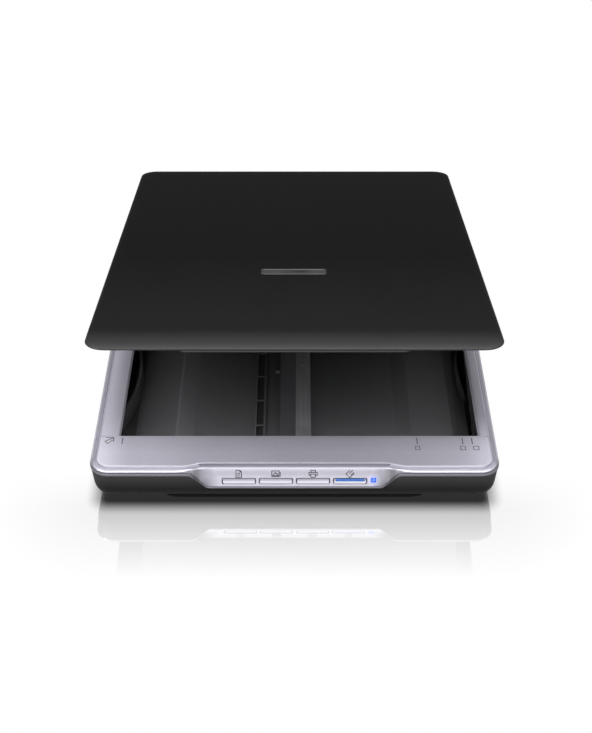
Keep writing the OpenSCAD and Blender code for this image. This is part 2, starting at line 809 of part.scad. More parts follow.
module drive_motor() {
    color("#b4b4b8") translate([motor_x, home_y, 0]) difference() {
        union() {
            rod(0, 0, 8.5, 5.4, 10.9);
            rod(0, 0, 2.4, 10.8, 11.6);
            box(-2.6, 2.6, -13.2, 13.2, 10.1, 10.9);
        }
        for (s = [-1, 1]) rod(0, s * 11, 1.1, 9, 12);
        rod(0, 0, 0.8, 6.4, 12);
    }
}

module motor_screws() {
    color("#8c8c90") translate([motor_x, home_y, 0]) for (s = [-1, 1]) {
        rod(0, s * 11, 1.8, 9.3, 10.1);
        rod(0, s * 11, 0.8, 9.8, 13.6);
    }
}

module gear_axles() {
    color("#d0d0d4") translate([0, home_y, 0]) {
        rod(drive_x, 0, 1, 6.15, tray_z - 0.4);
        rod(compound_x, 0, 1, 10.6, tray_z - 0.4);
    }
}

module axle_clips() {
    color("#707074") translate([0, home_y, 0]) for (c = [[drive_x, 6.2], [compound_x, 10.7]])
        difference() {
            rod(c[0], 0, 1.9, c[1], c[1] + 0.3);
            rod(c[0], 0, 1, c[1] - 1, c[1] + 1);
            box(c[0] - 0.5, c[0] + 0.5, 0.5, 3, c[1] - 1, c[1] + 1);
        }
}

// ---------- sensor bar ----------

module spring_coil(wire_r, coil_r, turns, z0, z1) {
    steps = 14 * turns;
    sides = 6;
    rings = [for (i = [0:steps]) [for (k = [0:sides - 1])
        let (a = 360 * turns * i / steps, b = 360 * k / sides,
            r = coil_r + wire_r * cos(b))
        [r * cos(a), r * sin(a), z0 + wire_r + (z1 - z0 - 2 * wire_r) * i / steps + wire_r * sin(b)]]];
    points = [for (ring = rings, p = ring) p];
    sides_faces = [for (i = [0:steps - 1], k = [0:sides - 1])
        [i * sides + k, (i + 1) * sides + k, (i + 1) * sides + (k + 1) % sides,
            i * sides + (k + 1) % sides]];
    polyhedron(points, concat([[for (k = [0:sides - 1]) k]], sides_faces,
        [[for (k = [sides - 1:-1:0]) steps * sides + k]]), convexity = 10);
}

module sensor_springs() {
    color("#b8b8bc") for (s = [-1, 1]) translate([s * 85, home_y, 0])
        spring_coil(0.25, 2, 5, 12.55, cis_low - 0.05);
}

module sensor_housing() {
    color("#1c1c1e") translate([0, home_y, 0]) difference() {
        union() {
            box(-98, 98, -8, 8, cis_low, cis_top);
            box(cis_x0, cis_x1, -8, 8, 21.2, cis_top);
        }
        box(-108, 112, -5, 5, 25.9, 30);
        box(-106, 110, -0.6, 0.6, 21.6, 30);
        translate([0, -3, 0]) box(-106, 110, -1.3, 1.3, 22.4, 30);
        box(-97, 97, -5, 5, cis_low - 1, cis_low + 1.3);
        for (x = [-111, 113], y = [-6.8, 5.2]) box(x - 0.1, x + 2.1, y, y + 1.6, 26, 30);
    }
}

module rod_lens_array() {
    color("#a8c8c0") translate([0, home_y, 0]) box(-105.9, 109.9, -0.6, 0.6, 21.7, 25.4);
}

module light_guide() {
    color("#f0f4ff") translate([0, home_y - 3, 0]) box(-105.9, 109.9, -1.2, 1.2, 22.5, 25.4);
}

module sensor_cover_glass() {
    color([0.8, 0.9, 0.9, 0.35]) translate([0, home_y, 0]) box(-107.9, 111.9, -4.9, 4.9, 25.9, 26.5);
}

module sensor_board() {
    color("#1f6b3a") translate([0, home_y, 0]) box(-96.9, 96.9, -4.9, 4.9, cis_low + 0.1, cis_low + 1.3);
}

module glide_pads() {
    color("#f0f0ea") translate([0, home_y, 0])
        for (x = [-111, 113], y = [-6.8, 5.2]) box(x, x + 2, y + 0.1, y + 1.5, 26, pad_top);
}

// ---------- gear train ----------

module motor_shaft() {
    color("#d0d0d4") rod(motor_x, home_y, 0.75, 6.5, 15.1);
}

module motor_pinion() {
    color("#c8b060") translate([motor_x, home_y, 0]) difference() {
        gear(fine_module, pinion_z, 13.4, 15, 180 / pinion_z);
        rod(0, 0, 0.75, 10, 20);
    }
}

module compound_gear() {
    color("#e4e4dc") translate([compound_x, home_y, 0]) difference() {
        union() {
            gear(mid_module, compound_small_z, 11.2, 13.5, 180 / compound_small_z);
            gear(fine_module, compound_large_z, 13.4, 15);
        }
        rod(0, 0, 1 + round_gap, 10, 20);
    }
}

module drive_gear() {
    color("#e4e4dc") translate([drive_x, home_y, 0]) difference() {
        union() {
            gear(rack_module, drive_small_z, 6.6, 9.6);
            rod(0, 0, 4.4, 9.5, 11.4);
            gear(mid_module, drive_large_z, 11.3, 13.1);
            rod(0, 0, 2.4, 13, 14.8);
        }
        rod(0, 0, 1 + round_gap, 5, 20);
    }
}

lower_case();
side_frame();
front_cover();
scan_glass();
glass_tape();
calibration_strip();
guide_rail();
drive_rack();
track_screws();
main_board();
board_chips();
usb_port();
board_screws();
button_board();
tact_switches();
led_lens();
panel_cable();
sensor_cable();
rubber_feet();
case_screws();
hinge_posts();
hinge_pins();
lid_cover();
lid_inner_plate();
lid_foam();
document_mat();
hinge_leaves();
lid_screws();
lid_bumpers();
lid_badge();
button_document();
button_picture();
button_printer();
button_start();
start_stripe();
carriage_frame();
rail_shoes();
drive_motor();
motor_screws();
gear_axles();
axle_clips();
sensor_springs();
sensor_housing();
rod_lens_array();
light_guide();
sensor_cover_glass();
sensor_board();
glide_pads();
motor_shaft();
motor_pinion();
compound_gear();
drive_gear();
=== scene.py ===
"""Looks of the flatbed scanner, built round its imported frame.

Lengths are in millimetres until MM is applied.
"""

import json
import math

import bmesh
import bpy
from mathutils import Matrix, Vector


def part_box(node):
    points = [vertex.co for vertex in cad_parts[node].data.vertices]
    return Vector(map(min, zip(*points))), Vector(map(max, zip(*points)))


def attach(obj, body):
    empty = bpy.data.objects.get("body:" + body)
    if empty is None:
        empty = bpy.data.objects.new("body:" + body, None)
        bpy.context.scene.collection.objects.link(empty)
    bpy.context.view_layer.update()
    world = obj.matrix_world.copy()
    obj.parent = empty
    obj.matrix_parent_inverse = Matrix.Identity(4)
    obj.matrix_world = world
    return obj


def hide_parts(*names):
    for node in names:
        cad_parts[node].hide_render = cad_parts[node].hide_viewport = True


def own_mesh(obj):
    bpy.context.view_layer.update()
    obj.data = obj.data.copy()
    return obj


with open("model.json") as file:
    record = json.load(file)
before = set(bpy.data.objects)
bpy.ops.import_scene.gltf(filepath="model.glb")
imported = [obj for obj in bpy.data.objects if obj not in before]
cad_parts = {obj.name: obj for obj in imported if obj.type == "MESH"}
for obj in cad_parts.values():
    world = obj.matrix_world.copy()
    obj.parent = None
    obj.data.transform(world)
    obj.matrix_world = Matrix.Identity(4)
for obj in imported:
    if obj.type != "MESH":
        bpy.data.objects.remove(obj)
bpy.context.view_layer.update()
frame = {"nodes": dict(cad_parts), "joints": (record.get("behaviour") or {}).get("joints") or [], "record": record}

MM = 0.001


# ---------------------------------------------------------------- places, from the frame

def node_box(name):
    """Lowest and highest corner of a CAD node in millimetres."""
    low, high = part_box(name)
    return low / MM, high / MM


SHELL_HIGH = node_box("side_frame")[1]
HALF_W, HALF_D, DECK_Z = SHELL_HIGH
GLASS_LOW, GLASS_HIGH = node_box("scan_glass")
GLASS_TOP = GLASS_HIGH.z
POSTS_LOW, POSTS_HIGH = node_box("hinge_posts")
BODY_R = 12.0
COVER_SEAM_Y = -150.3
SEAM_GAP = 0.15
TAPE_T = 0.15
WINDOW_MARGIN = 4.2
WINDOW_REAR_MARGIN = 9.4
WINDOW_X0, WINDOW_X1 = GLASS_LOW.x + WINDOW_MARGIN, GLASS_HIGH.x - WINDOW_MARGIN
WINDOW_Y0, WINDOW_Y1 = GLASS_LOW.y + WINDOW_MARGIN, GLASS_HIGH.y - WINDOW_REAR_MARGIN
# The rear strip of the deck sits lower, so that the lid can swing.
LEDGE_Y = 170.0
LEDGE_Z = 30.2

PANEL_LOW_Z = 16.8
PANEL_LEAN = math.radians(20)
PANEL_ROW_Z = 21.15
BUTTON_W = 19.9
BUTTON_H = 3.4
BUTTON_PITCH = 22.7
LED_X = 48.3
LED_UP = 0.8
LED_HOLE = 3.2
BADGE_W = 43.2
BADGE_H = 10.4
BADGE_R = 2.4
BADGE_X = -0.6
BADGE_Y = -54.0

# Along x: the ends of the panel's upper edge, of its lower edge, and of the stretch they disturb.
PANEL_TOP_X = 57.0
PANEL_END_X = 66.4
NOTCH_LOW_X = 53.5
NOTCH_HIGH_X = 64.0
PANEL_FADE_X = 75.0

hinge = next(j for j in frame["joints"] if j["name"] == "lid_hinge")
HINGE = Vector(hinge["pos_m"]) / MM
LID_OPEN = -math.radians(hinge["range_deg"][0])
LID_W = 246.8
LID_L = 355.8
LID_R = 12.0
LID_TOP = HINGE.z + 4.0
LID_REAR = HINGE.y + 3.0
LID_FRONT = LID_REAR - LID_L


def lid_point(p):
    """Turns a point drawn for the shut lid to the angle the lid rests at."""
    d = Vector(p) - HINGE
    return HINGE + Matrix.Rotation(-LID_OPEN, 3, "X") @ d


def panel_point(x, up, out=0.0):
    """Point on the leaning panel: along it, up its slope from the button row, out of its face."""
    slope = Vector((0, math.sin(PANEL_LEAN), math.cos(PANEL_LEAN)))
    normal = Vector((0, -math.cos(PANEL_LEAN), math.sin(PANEL_LEAN)))
    row = Vector((x, -HALF_D + (PANEL_ROW_Z - PANEL_LOW_Z) * math.tan(PANEL_LEAN), PANEL_ROW_Z))
    return row + slope * up + normal * out


# ---------------------------------------------------------------- mesh helpers

def loose_mesh(name, points, faces, merge=False):
    """Object with a closed mesh, from points in millimetres."""
    mesh = bpy.data.meshes.new(name)
    mesh.from_pydata([Vector(p) * MM for p in points], [], faces)
    mesh.validate()
    obj = bpy.data.objects.new(name, mesh)
    bpy.context.collection.objects.link(obj)
    bm = bmesh.new()
    bm.from_mesh(mesh)
    if merge:
        bmesh.ops.remove_doubles(bm, verts=bm.verts, dist=1e-7)
    bmesh.ops.recalc_face_normals(bm, faces=bm.faces)
    bm.to_mesh(mesh)
    bm.free()
    return obj


def make_piece(name, points, faces, body, slot, replaces=(), sharp=32, material=None):
    """Builds a closed mesh and puts it on a body."""
    obj = loose_mesh(name, points, faces, merge=True)
    finish_piece(obj, body, slot, replaces, sharp, material)
    return obj


def finish_piece(obj, body, slot, replaces=(), sharp=32, material=None):
    """Smooths a piece, gives it its material, and hands it to the frame."""
    smooth_by_angle(obj.data, sharp)
    obj.data.materials.clear()
    obj.data.materials.append(material or MAT[slot])
    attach(obj, body)
    if replaces:
        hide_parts(*replaces)


def smooth_by_angle(mesh, degrees):
    limit = math.radians(degrees)
    bm = bmesh.new()
    bm.from_mesh(mesh)
    for face in bm.faces:
        face.smooth = True
    for edge in bm.edges:
        edge.smooth = edge.is_manifold and edge.calc_face_angle(0) < limit
    bm.to_mesh(mesh)
    bm.free()


def grid_faces(rows, columns, closed_rows=True, closed_columns=False):
    """Quads of a grid of points numbered column by column."""
    return [(c * rows + r, (c + 1) % columns * rows + r,
             (c + 1) % columns * rows + (r + 1) % rows, c * rows + (r + 1) % rows)
            for c in range(columns if closed_columns else columns - 1)
            for r in range(rows if closed_rows else rows - 1)]


def stack(outlines):
    """Points and faces of the closed solid that runs through outlines of equal length."""
    n = len(outlines[0])
    last = (len(outlines) - 1) * n
    faces = grid_faces(n, len(outlines)) + [tuple(range(n)), tuple(reversed(range(last, last + n)))]
    return [p for outline in outlines for p in outline], faces


def cutter(outline, place, top, bottom):
    """Prism to cut with: place(a, b, height) maps the outline at both heights."""
    return loose_mesh("cut", *stack([[place(a, b, h) for a, b in outline] for h in (top, bottom)]))


def box_outline(x0, y0, x1, y1):
    return [(x0, y0), (x1, y0), (x1, y1), (x0, y1)]


def moved(outline, x, y):
    return [(x + a, y + b) for a, b in outline]


def arc_points(cx, cy, r, a0, a1, steps):
    """(point, outward normal) pairs along an arc, angles in degrees."""
    out = []
    for i in range(steps + 1):
        a = math.radians(a0 + (a1 - a0) * i / steps)
        n = Vector((math.cos(a), math.sin(a)))
        out.append((Vector((cx, cy)) + n * r, n))
    return out


def line_points(x0, y0, x1, y1, normal, steps, first, last):
    """(point, normal) pairs along a line: the numbers from first to last of its equal steps."""
    return [(Vector((x0 + (x1 - x0) * i / steps, y0 + (y1 - y0) * i / steps)), Vector(normal))
            for i in range(first, last + 1)]


def softened(function, x, reach):
    """Average of a function over a short stretch, which rounds its corners."""
    samples = 9
    total = sum(function(x + reach * (2 * i / (samples - 1) - 1)) for i in range(samples))
    return total / samples


def boolean_cut(obj, cutters):
    """Cuts closed meshes out of a piece."""
    for cutter in cutters:
        modifier = obj.modifiers.new("cut", "BOOLEAN")
        modifier.operation = "DIFFERENCE"
        modifier.solver = "EXACT"
        modifier.object = cutter
    bpy.context.view_layer.update()
    evaluated = obj.evaluated_get(bpy.context.evaluated_depsgraph_get())
    mesh = bpy.data.meshes.new_from_object(evaluated)
    obj.modifiers.clear()
    old = obj.data
    obj.data = mesh
    bpy.data.meshes.remove(old)
    for cutter in cutters:
        bpy.data.objects.remove(cutter, do_unlink=True)


def round_rect(w, h, radii, steps=6):
    """Outline with its own radius at each corner: top right, top left, bottom left, bottom right."""
    corners = [(1, 1, 0), (-1, 1, 90), (-1, -1, 180), (1, -1, 270)]
    out = []
    for (sx, sy, start), r in zip(corners, radii):
        for i in range(steps + 1):
            a = math.radians(start + 90 * i / steps)
            out.append((sx * (w / 2 - r) + r * math.cos(a), sy * (h / 2 - r) + r * math.sin(a)))
    return out


# ---------------------------------------------------------------- shader helpers

def new_material(name):
    material = bpy.data.materials.new(name)
    material.use_nodes = True
    tree = material.node_tree
    return material, tree, tree.nodes["Principled BSDF"]


def fill(tree, node, inputs):
    """Sets a node's inputs to plain values, to sockets or to a Value."""
    for key, item in inputs.items():
        item = getattr(item, "socket", item)
        if isinstance(item, bpy.types.NodeSocket):
            tree.links.new(item, node.inputs[key])
        else:
            node.inputs[key].default_value = item


def add_node(tree, kind, inputs, **settings):
    node = tree.nodes.new("ShaderNode" + kind)
    for key, item in settings.items():
        setattr(node, key, item)
    fill(tree, node, inputs)
    return node


class Value:
    """Number worked out in a shader; arithmetic on it adds math nodes."""

    def __init__(self, tree, socket):
        self.tree, self.socket = tree, socket

    def math(self, operation, *others):
        node = add_node(self.tree, "Math", dict(enumerate((self, *others))), operation=operation)
        return Value(self.tree, node.outputs["Value"])

    def __add__(self, other):
        return self.math("ADD", other)

    def __sub__(self, other):
        return self.math("SUBTRACT", other)

    def __mul__(self, other):
        return self.math("MULTIPLY", other)

    def __gt__(self, other):
        return self.math("GREATER_THAN", other)

    def __lt__(self, other):
        return self.math("LESS_THAN", other)

    def __abs__(self):
        return self.math("ABSOLUTE")

    def most(self, other):
        return self.math("MAXIMUM", other)

    def within(self, reach, centre):
        return self.math("COMPARE", centre, reach)

    def rest(self):
        """1 minus the value."""
        return self * -1.0 + 1.0

    def span(self, low, high, from_low=0.3, from_high=0.7, kind="LINEAR"):
        """Runs from low to high while the value runs from from_low to from_high."""
        limits = {"Value": self, "From Min": from_low, "From Max": from_high, "To Min": low, "To Max": high}
        node = add_node(self.tree, "MapRange", limits, interpolation_type=kind)
        return Value(self.tree, node.outputs["Result"])


def object_coords(tree, scale=(1, 1, 1)):
    coords = tree.nodes.new("ShaderNodeTexCoord").outputs["Object"]
    return add_node(tree, "Mapping", {"Scale": scale, "Vector": coords}).outputs["Vector"]


def axes(tree, vector):
    node = add_node(tree, "SeparateXYZ", {"Vector": vector})
    return [Value(tree, node.outputs[axis]) for axis in "XYZ"]


def place_axes(tree):
    """Place on the scanner at rest, in millimetres."""
    return axes(tree, object_coords(tree, (1 / MM,) * 3))


def facing_axes(tree):
    return axes(tree, tree.nodes.new("ShaderNodeNewGeometry").outputs["True Normal"])


def distance_to(tree, point):
    """Distance in millimetres from a point in millimetres."""
    here = object_coords(tree, (1 / MM,) * 3)
    node = add_node(tree, "VectorMath", {0: here, 1: point}, operation="DISTANCE")
    return Value(tree, node.outputs["Value"])


def noise(tree, vector, scale, detail=3.0, roughness=0.5):
    inputs = {"Vector": vector, "Scale": scale, "Detail": detail, "Roughness": roughness}
    return Value(tree, add_node(tree, "TexNoise", inputs).outputs["Fac"])


def ramp(tree, value, stops):
    """Colour ramp through (place, colour) stops."""
    node = add_node(tree, "ValToRGB", {"Fac": value})
    elements = node.color_ramp.elements
    while len(elements) < len(stops):
        elements.new(0.5)
    for element, (place, colour) in zip(elements, stops):
        element.position = place
        element.color = (*colour, 1)
    return node.outputs["Color"]


def mix_colours(tree, share, a, b, kind="MIX"):
    node = add_node(tree, "Mix", {}, data_type="RGBA", blend_type=kind)
    fill(tree, node, {"Factor": share, "A": a, "B": b})
    return node.outputs["Result"]


def mix_shaders(tree, share, a, b):
    return add_node(tree, "MixShader", {"Fac": share, 1: a, 2: b}).outputs["Shader"]


def bump(tree, shader, height, depth):
    """Relief with its depth in millimetres."""
    node = add_node(tree, "Bump", {"Distance": depth * MM, "Strength": 1.0, "Height": height})
    fill(tree, shader, {"Normal": node.outputs["Normal"]})


def shade(colour, factor):
    return tuple(min(1.0, c * factor) for c in colour)


# ---------------------------------------------------------------- materials

def moulded(name, colour, rough, grain=1400.0, depth=0.01, spread=0.12, spec=0.5):
    """Fine textured moulded plastic: cloudy tone, grain and uneven gloss."""
    material, tree, shader = new_material(name)
    vector = object_coords(tree)
    fine = noise(tree, vector, grain, 2.0)
    tones = [(0.3, shade(colour, 1 - spread)), (0.7, shade(colour, 1 + spread))]
    fill(tree, shader, {"Base Color": ramp(tree, noise(tree, vector, 35.0), tones),
                        "Roughness": fine.span(rough - 0.05, rough + 0.05), "Specular IOR Level": spec})
    bump(tree, shader, fine, depth)
    return material


def lid_plastic():
    """Near-black lid, glossier towards its front edge, with a painted sheen that pales it towards the front and a
    painted highlight along the front edge.
    """
    material, tree, shader = new_material("lid_black")
    vector = object_coords(tree)
    fine = noise(tree, vector, 2200.0, 2.0)
    y = place_axes(tree)[1]
    # near and edge carry painted light: a sheen that pales the top towards the front, and a highlight along the
    # front edge, off the front-facing skirt; near also raises the gloss there
    near = y.span(1.0, 0.0, -168, -20)
    skirt = facing_axes(tree)[1].span(1.0, 0.0, -0.85, -0.45)
    edge = y.span(1.0, 0.0, -167, -143) * (skirt * 0.85).rest()
    tone = near * 0.3 + edge * 0.6 + noise(tree, vector, 30.0).span(-0.015, 0.015)
    tones = [(0.0, (0.0042, 0.0042, 0.0044)), (0.3, (0.0085, 0.0085, 0.0088)), (0.9, (0.04, 0.04, 0.041))]
    fill(tree, shader, {"Base Color": ramp(tree, tone, tones), "Roughness": fine.span(0.35, 0.45),
                        "Specular IOR Level": near.span(0.1, 0.24, 0.0, 1.0)})
    bump(tree, shader, fine, 0.004)
    return material


def painted_rear_shade(y, near, far):
    """Grey factor of painted shade that falls towards the rear, as under the covered end of the glass."""
    return y.span(near, far, -150, -10)


def case_plastic():
    """Black outside, with painted light that pales it towards the top; the bare floor and ribs inside the case are
    a paler grey, with painted shade in the sunk ladder channel and towards the rear and a painted highlight on the
    ramp and the rungs.
    """
    material, tree, shader = new_material("case_black")
    vector = object_coords(tree)
    cloud = noise(tree, vector, 30.0)
    fine = noise(tree, vector, 1500.0, 2.0)
    x, y, z = place_axes(tree)
    side = abs(x)
    inside = (facing_axes(tree)[2] > -0.5) * (side < 113.6) * (abs(y) < 171.5) * (z < 26) * (z > 3.8)
    bay_floor, ribs = side.span(1.0, 0.55, 103.2, 103.8), z > 8.4
    ladder, rung_level = x.within(2.6, -23.1), 5.2
    sunk, rungs = ladder * (z < rung_level), ladder * (z > rung_level)
    ramp_side = x.within(5.8, -72.2)
    # a darker floor strip along the side walls (ribs excepted), and painted shade in the sunk ladder channel
    inside *= bay_floor.most(ribs) * (sunk * 0.75).rest()
    # painted highlight on the ramp and the rungs, and painted shade towards the rear
    inside *= (ramp_side.most(rungs) * 0.5 + 1.0) * painted_rear_shade(y, 0.68, 0.1)
    # painted light: the black pales from the foot towards the top of the wall
    height = z.span(0.0, 1.0, 7, 26.4) + cloud.span(-0.04, 0.04)
    black = ramp(tree, height, [(0.0, (0.0042, 0.0042, 0.0042)), (0.45, (0.007, 0.007, 0.0075)),
                                (1.0, (0.03, 0.03, 0.031))])
    grey = ramp(tree, cloud, [(0.3, (0.172, 0.172, 0.177)), (0.7, (0.186, 0.186, 0.191))])
    fill(tree, shader, {"Base Color": mix_colours(tree, inside, black, grey),
                        "Roughness": fine.span(0.38, 0.48), "Specular IOR Level": z.span(0.1, 0.3, 8, 24)})
    bump(tree, shader, fine * inside.rest(), 0.006)
    return material


def metal(name, colour, rough, stretch=(1, 1, 1), grain=900.0, with_painted_shade=False):
    """Bare metal, brushed when the stretch differs along its axes; with painted shade towards the rear when asked.
    """
    material, tree, shader = new_material(name)
    lines = noise(tree, object_coords(tree, stretch), grain, 3.0, 0.6)
    cloud = noise(tree, object_coords(tree), 60.0)
    surface = ramp(tree, lines, [(0.3, shade(colour, 0.8)), (0.7, shade(colour, 1.15))])
    # painted shade that darkens the metal towards the rear
    if with_painted_shade:
        surface = mix_colours(tree, 1.0, surface, painted_rear_shade(place_axes(tree)[1], 1.15, 0.35), "MULTIPLY")
    fill(tree, shader, {"Base Color": surface, "Metallic": 1.0,
                        "Roughness": cloud.span(rough - 0.06, rough + 0.08)})
    bump(tree, shader, lines, 0.004)
    return material


def silver_paint():
    """Lavender silver paint with fine flake, painted shade and painted light by place, and a painted glow of the
    lit lamp close by.
    """
    material, tree, shader = new_material("silver_paint")
    colour = (0.5, 0.488, 0.555)
    vector = object_coords(tree)
    flake = add_node(tree, "TexVoronoi", {"Scale": 2600.0, "Vector": vector}).outputs["Distance"]
    body = ramp(tree, noise(tree, vector, 25.0), [(0.3, shade(colour, 0.97)), (0.7, shade(colour, 1.03))])
    sparkle = ramp(tree, flake, [(0.2, (1.04, 1.04, 1.05)), (0.8, (0.93, 0.93, 0.94))])
    paint = mix_colours(tree, 1.0, body, sparkle, "MULTIPLY")
    # painted shade and painted light, by place
    paint = mix_colours(tree, 1.0, paint, painted_silver_shading(tree), "MULTIPLY")
    # painted glow: the paint itself emits blue near the lit lamp
    painted_lamp_glow = distance_to(tree, panel_point(LED_X, LED_UP)).span(0.22, 0.0, 1.2, 5.8, "SMOOTHERSTEP")
    fill(tree, shader, {"Base Color": paint, "Metallic": 0.55, "Coat Weight": 0.25, "Coat Roughness": 0.18,
                        "Roughness": noise(tree, vector, 900.0).span(0.28, 0.34),
                        "Emission Color": (0.2, 0.3, 1.0, 1), "Emission Strength": painted_lamp_glow})
    bump(tree, shader, noise(tree, vector, 1800.0), 0.0015)
    return material


def painted_silver_shading(tree):
    """Grey factor of the silver paint by place: painted shade and painted light."""
    x, y, z = place_axes(tree)
    side = abs(x)
    dark = panel_shadow(y, z, side).most(lip_shadow(y, z, side))
    return dark.rest() * deck_painted_shading(x, y, z)


def panel_shadow(y, z, side):
    """Painted shade in the gaps round the buttons, on the upper edges of the buttons, and on the ends and upper
    face of the panel.
    """
    normal = panel_point(0, 0, 1) - panel_point(0, 0)
    level = panel_point(0, 0).dot(normal)
    behind = y * -normal.y - z * normal.z + level
    button_row = (z < 25.5) * (side < 51.5)
    front, below = y < -176.5, z.span(1.0, 0.0, 28.4, 29.6)
    gaps = behind.span(0.0, 0.9, 0.12, 0.4) * button_row
    caps = behind.span(1.0, 0.0, -0.08, -0.03) * button_row * z.span(0.0, 0.68, 21.2, 22.4) * front
    ends = side.span(0.0, 0.77, 46, 59) * side.span(1.0, 0.0, 61, 68) * front * below
    face = z.span(0.0, 0.18, 23.6, 25.5) * side.span(1.0, 0.0, 46, 56) * front * below
    return gaps.most(ends).most(caps).most(face)


def deck_painted_shading(x, y, z):
    """Grey factor of the flat deck: painted shade in the middle and painted light towards its ends, painted light
    along the front, and painted shade on the side strips behind the front, most on the right.
    """
    off = (x - 14) * 0.0091
    bowl = off * off * 0.31 + 0.77
    edge = x.span(0.12, 0.45, -110, 110) * y.span(0.0, 1.0, -155, -130)
    tone = bowl * y.span(1.2, 1.0, -166, -150) * edge.rest()
    return (tone - 1.0) * (z > 31.0) + 1.0


def lip_shadow(y, z, side):
    """Painted shade on the lower lip of the frame, on the fine line of the roll's lower front above it, and on the
    wall behind the panel.
    """
    low_edge, climb = 17.55, 10.65
    outer = side.span(0.0, 1.0, NOTCH_LOW_X, NOTCH_HIGH_X).most(y > -176)
    above = z - (outer * climb + low_edge)
    lines = ((above < 0.53) * 0.68 - (above < -0.02) * 0.16) * y.span(1.0, 0.0, -176, -166)
    wall = (side < 61) * (y > -176.45) * (y < -175.8) * (z > 28.96) * (z < 31.05)
    return lines.most(wall * 0.6)


def clear_glass(name, tint, rough=0.0, mirror=0.8):
    """Thin clear glass that lets light through to what lies under it."""
    material, tree, shader = new_material(name)
    tree.nodes.remove(shader)
    smear = noise(tree, object_coords(tree), 18.0)
    tones = [(0.3, shade(tint, 0.985)), (0.7, tint)]
    through = add_node(tree, "BsdfTransparent", {"Color": ramp(tree, smear, tones)})
    gloss = add_node(tree, "BsdfGlossy", {"Roughness": smear.span(rough + 0.01, rough + 0.04)})
    fresnel = Value(tree, add_node(tree, "Fresnel", {"IOR": 1.5}).outputs["Fac"])
    back = Value(tree, tree.nodes.new("ShaderNodeNewGeometry").outputs["Backfacing"])
    share = fresnel * back.rest() * mirror
    surface = mix_shaders(tree, share, through.outputs["BSDF"], gloss.outputs["BSDF"])
    fill(tree, tree.nodes["Material Output"], {"Surface": surface})
    return material


def lamp_lens():
    """Lit blue lens with a pale core."""
    material, tree, shader = new_material("lamp_lens")
    radial = distance_to(tree, panel_point(LED_X, LED_UP, 0.2)).span(0.0, 1.0, 0.1, 1.9)
    tones = [(0.0, (0.16, 0.42, 1.0)), (0.45, (0.035, 0.12, 0.95)), (1.0, (0.006, 0.02, 0.6))]
    fill(tree, shader, {"Emission Color": ramp(tree, radial, tones), "Emission Strength": 1.0,
                        "Base Color": (0.02, 0.06, 0.5, 1), "Roughness": 0.25})
    bump(tree, shader, noise(tree, object_coords(tree), 500.0), 0.004)
    return material


def board_green():
    """Circuit board with faint copper tracks under the green."""
    material, tree, shader = new_material("board_green")
    bricks = add_node(tree, "TexBrick", {
        "Scale": 260.0, "Mortar Size": 0.06,
        "Color1": (0.012, 0.11, 0.04, 1), "Color2": (0.016, 0.14, 0.05, 1),
        "Mortar": (0.03, 0.22, 0.08, 1), "Vector": object_coords(tree)})
    fill(tree, shader, {"Base Color": bricks.outputs["Color"], "Roughness": 0.3})
    bump(tree, shader, bricks.outputs["Fac"], 0.02)
    return material


def patterned(name, kind, output, scale, tones, rough, depth, **settings):
    """Surface whose colour and relief follow one repeating pattern."""
    material, tree, shader = new_material(name)
    inputs = {"Scale": scale, "Vector": object_coords(tree)}
    pattern = add_node(tree, kind, inputs, **settings).outputs[output]
    fill(tree, shader, {"Base Color": ramp(tree, pattern, tones), "Roughness": rough})
    bump(tree, shader, pattern, depth)
    return material


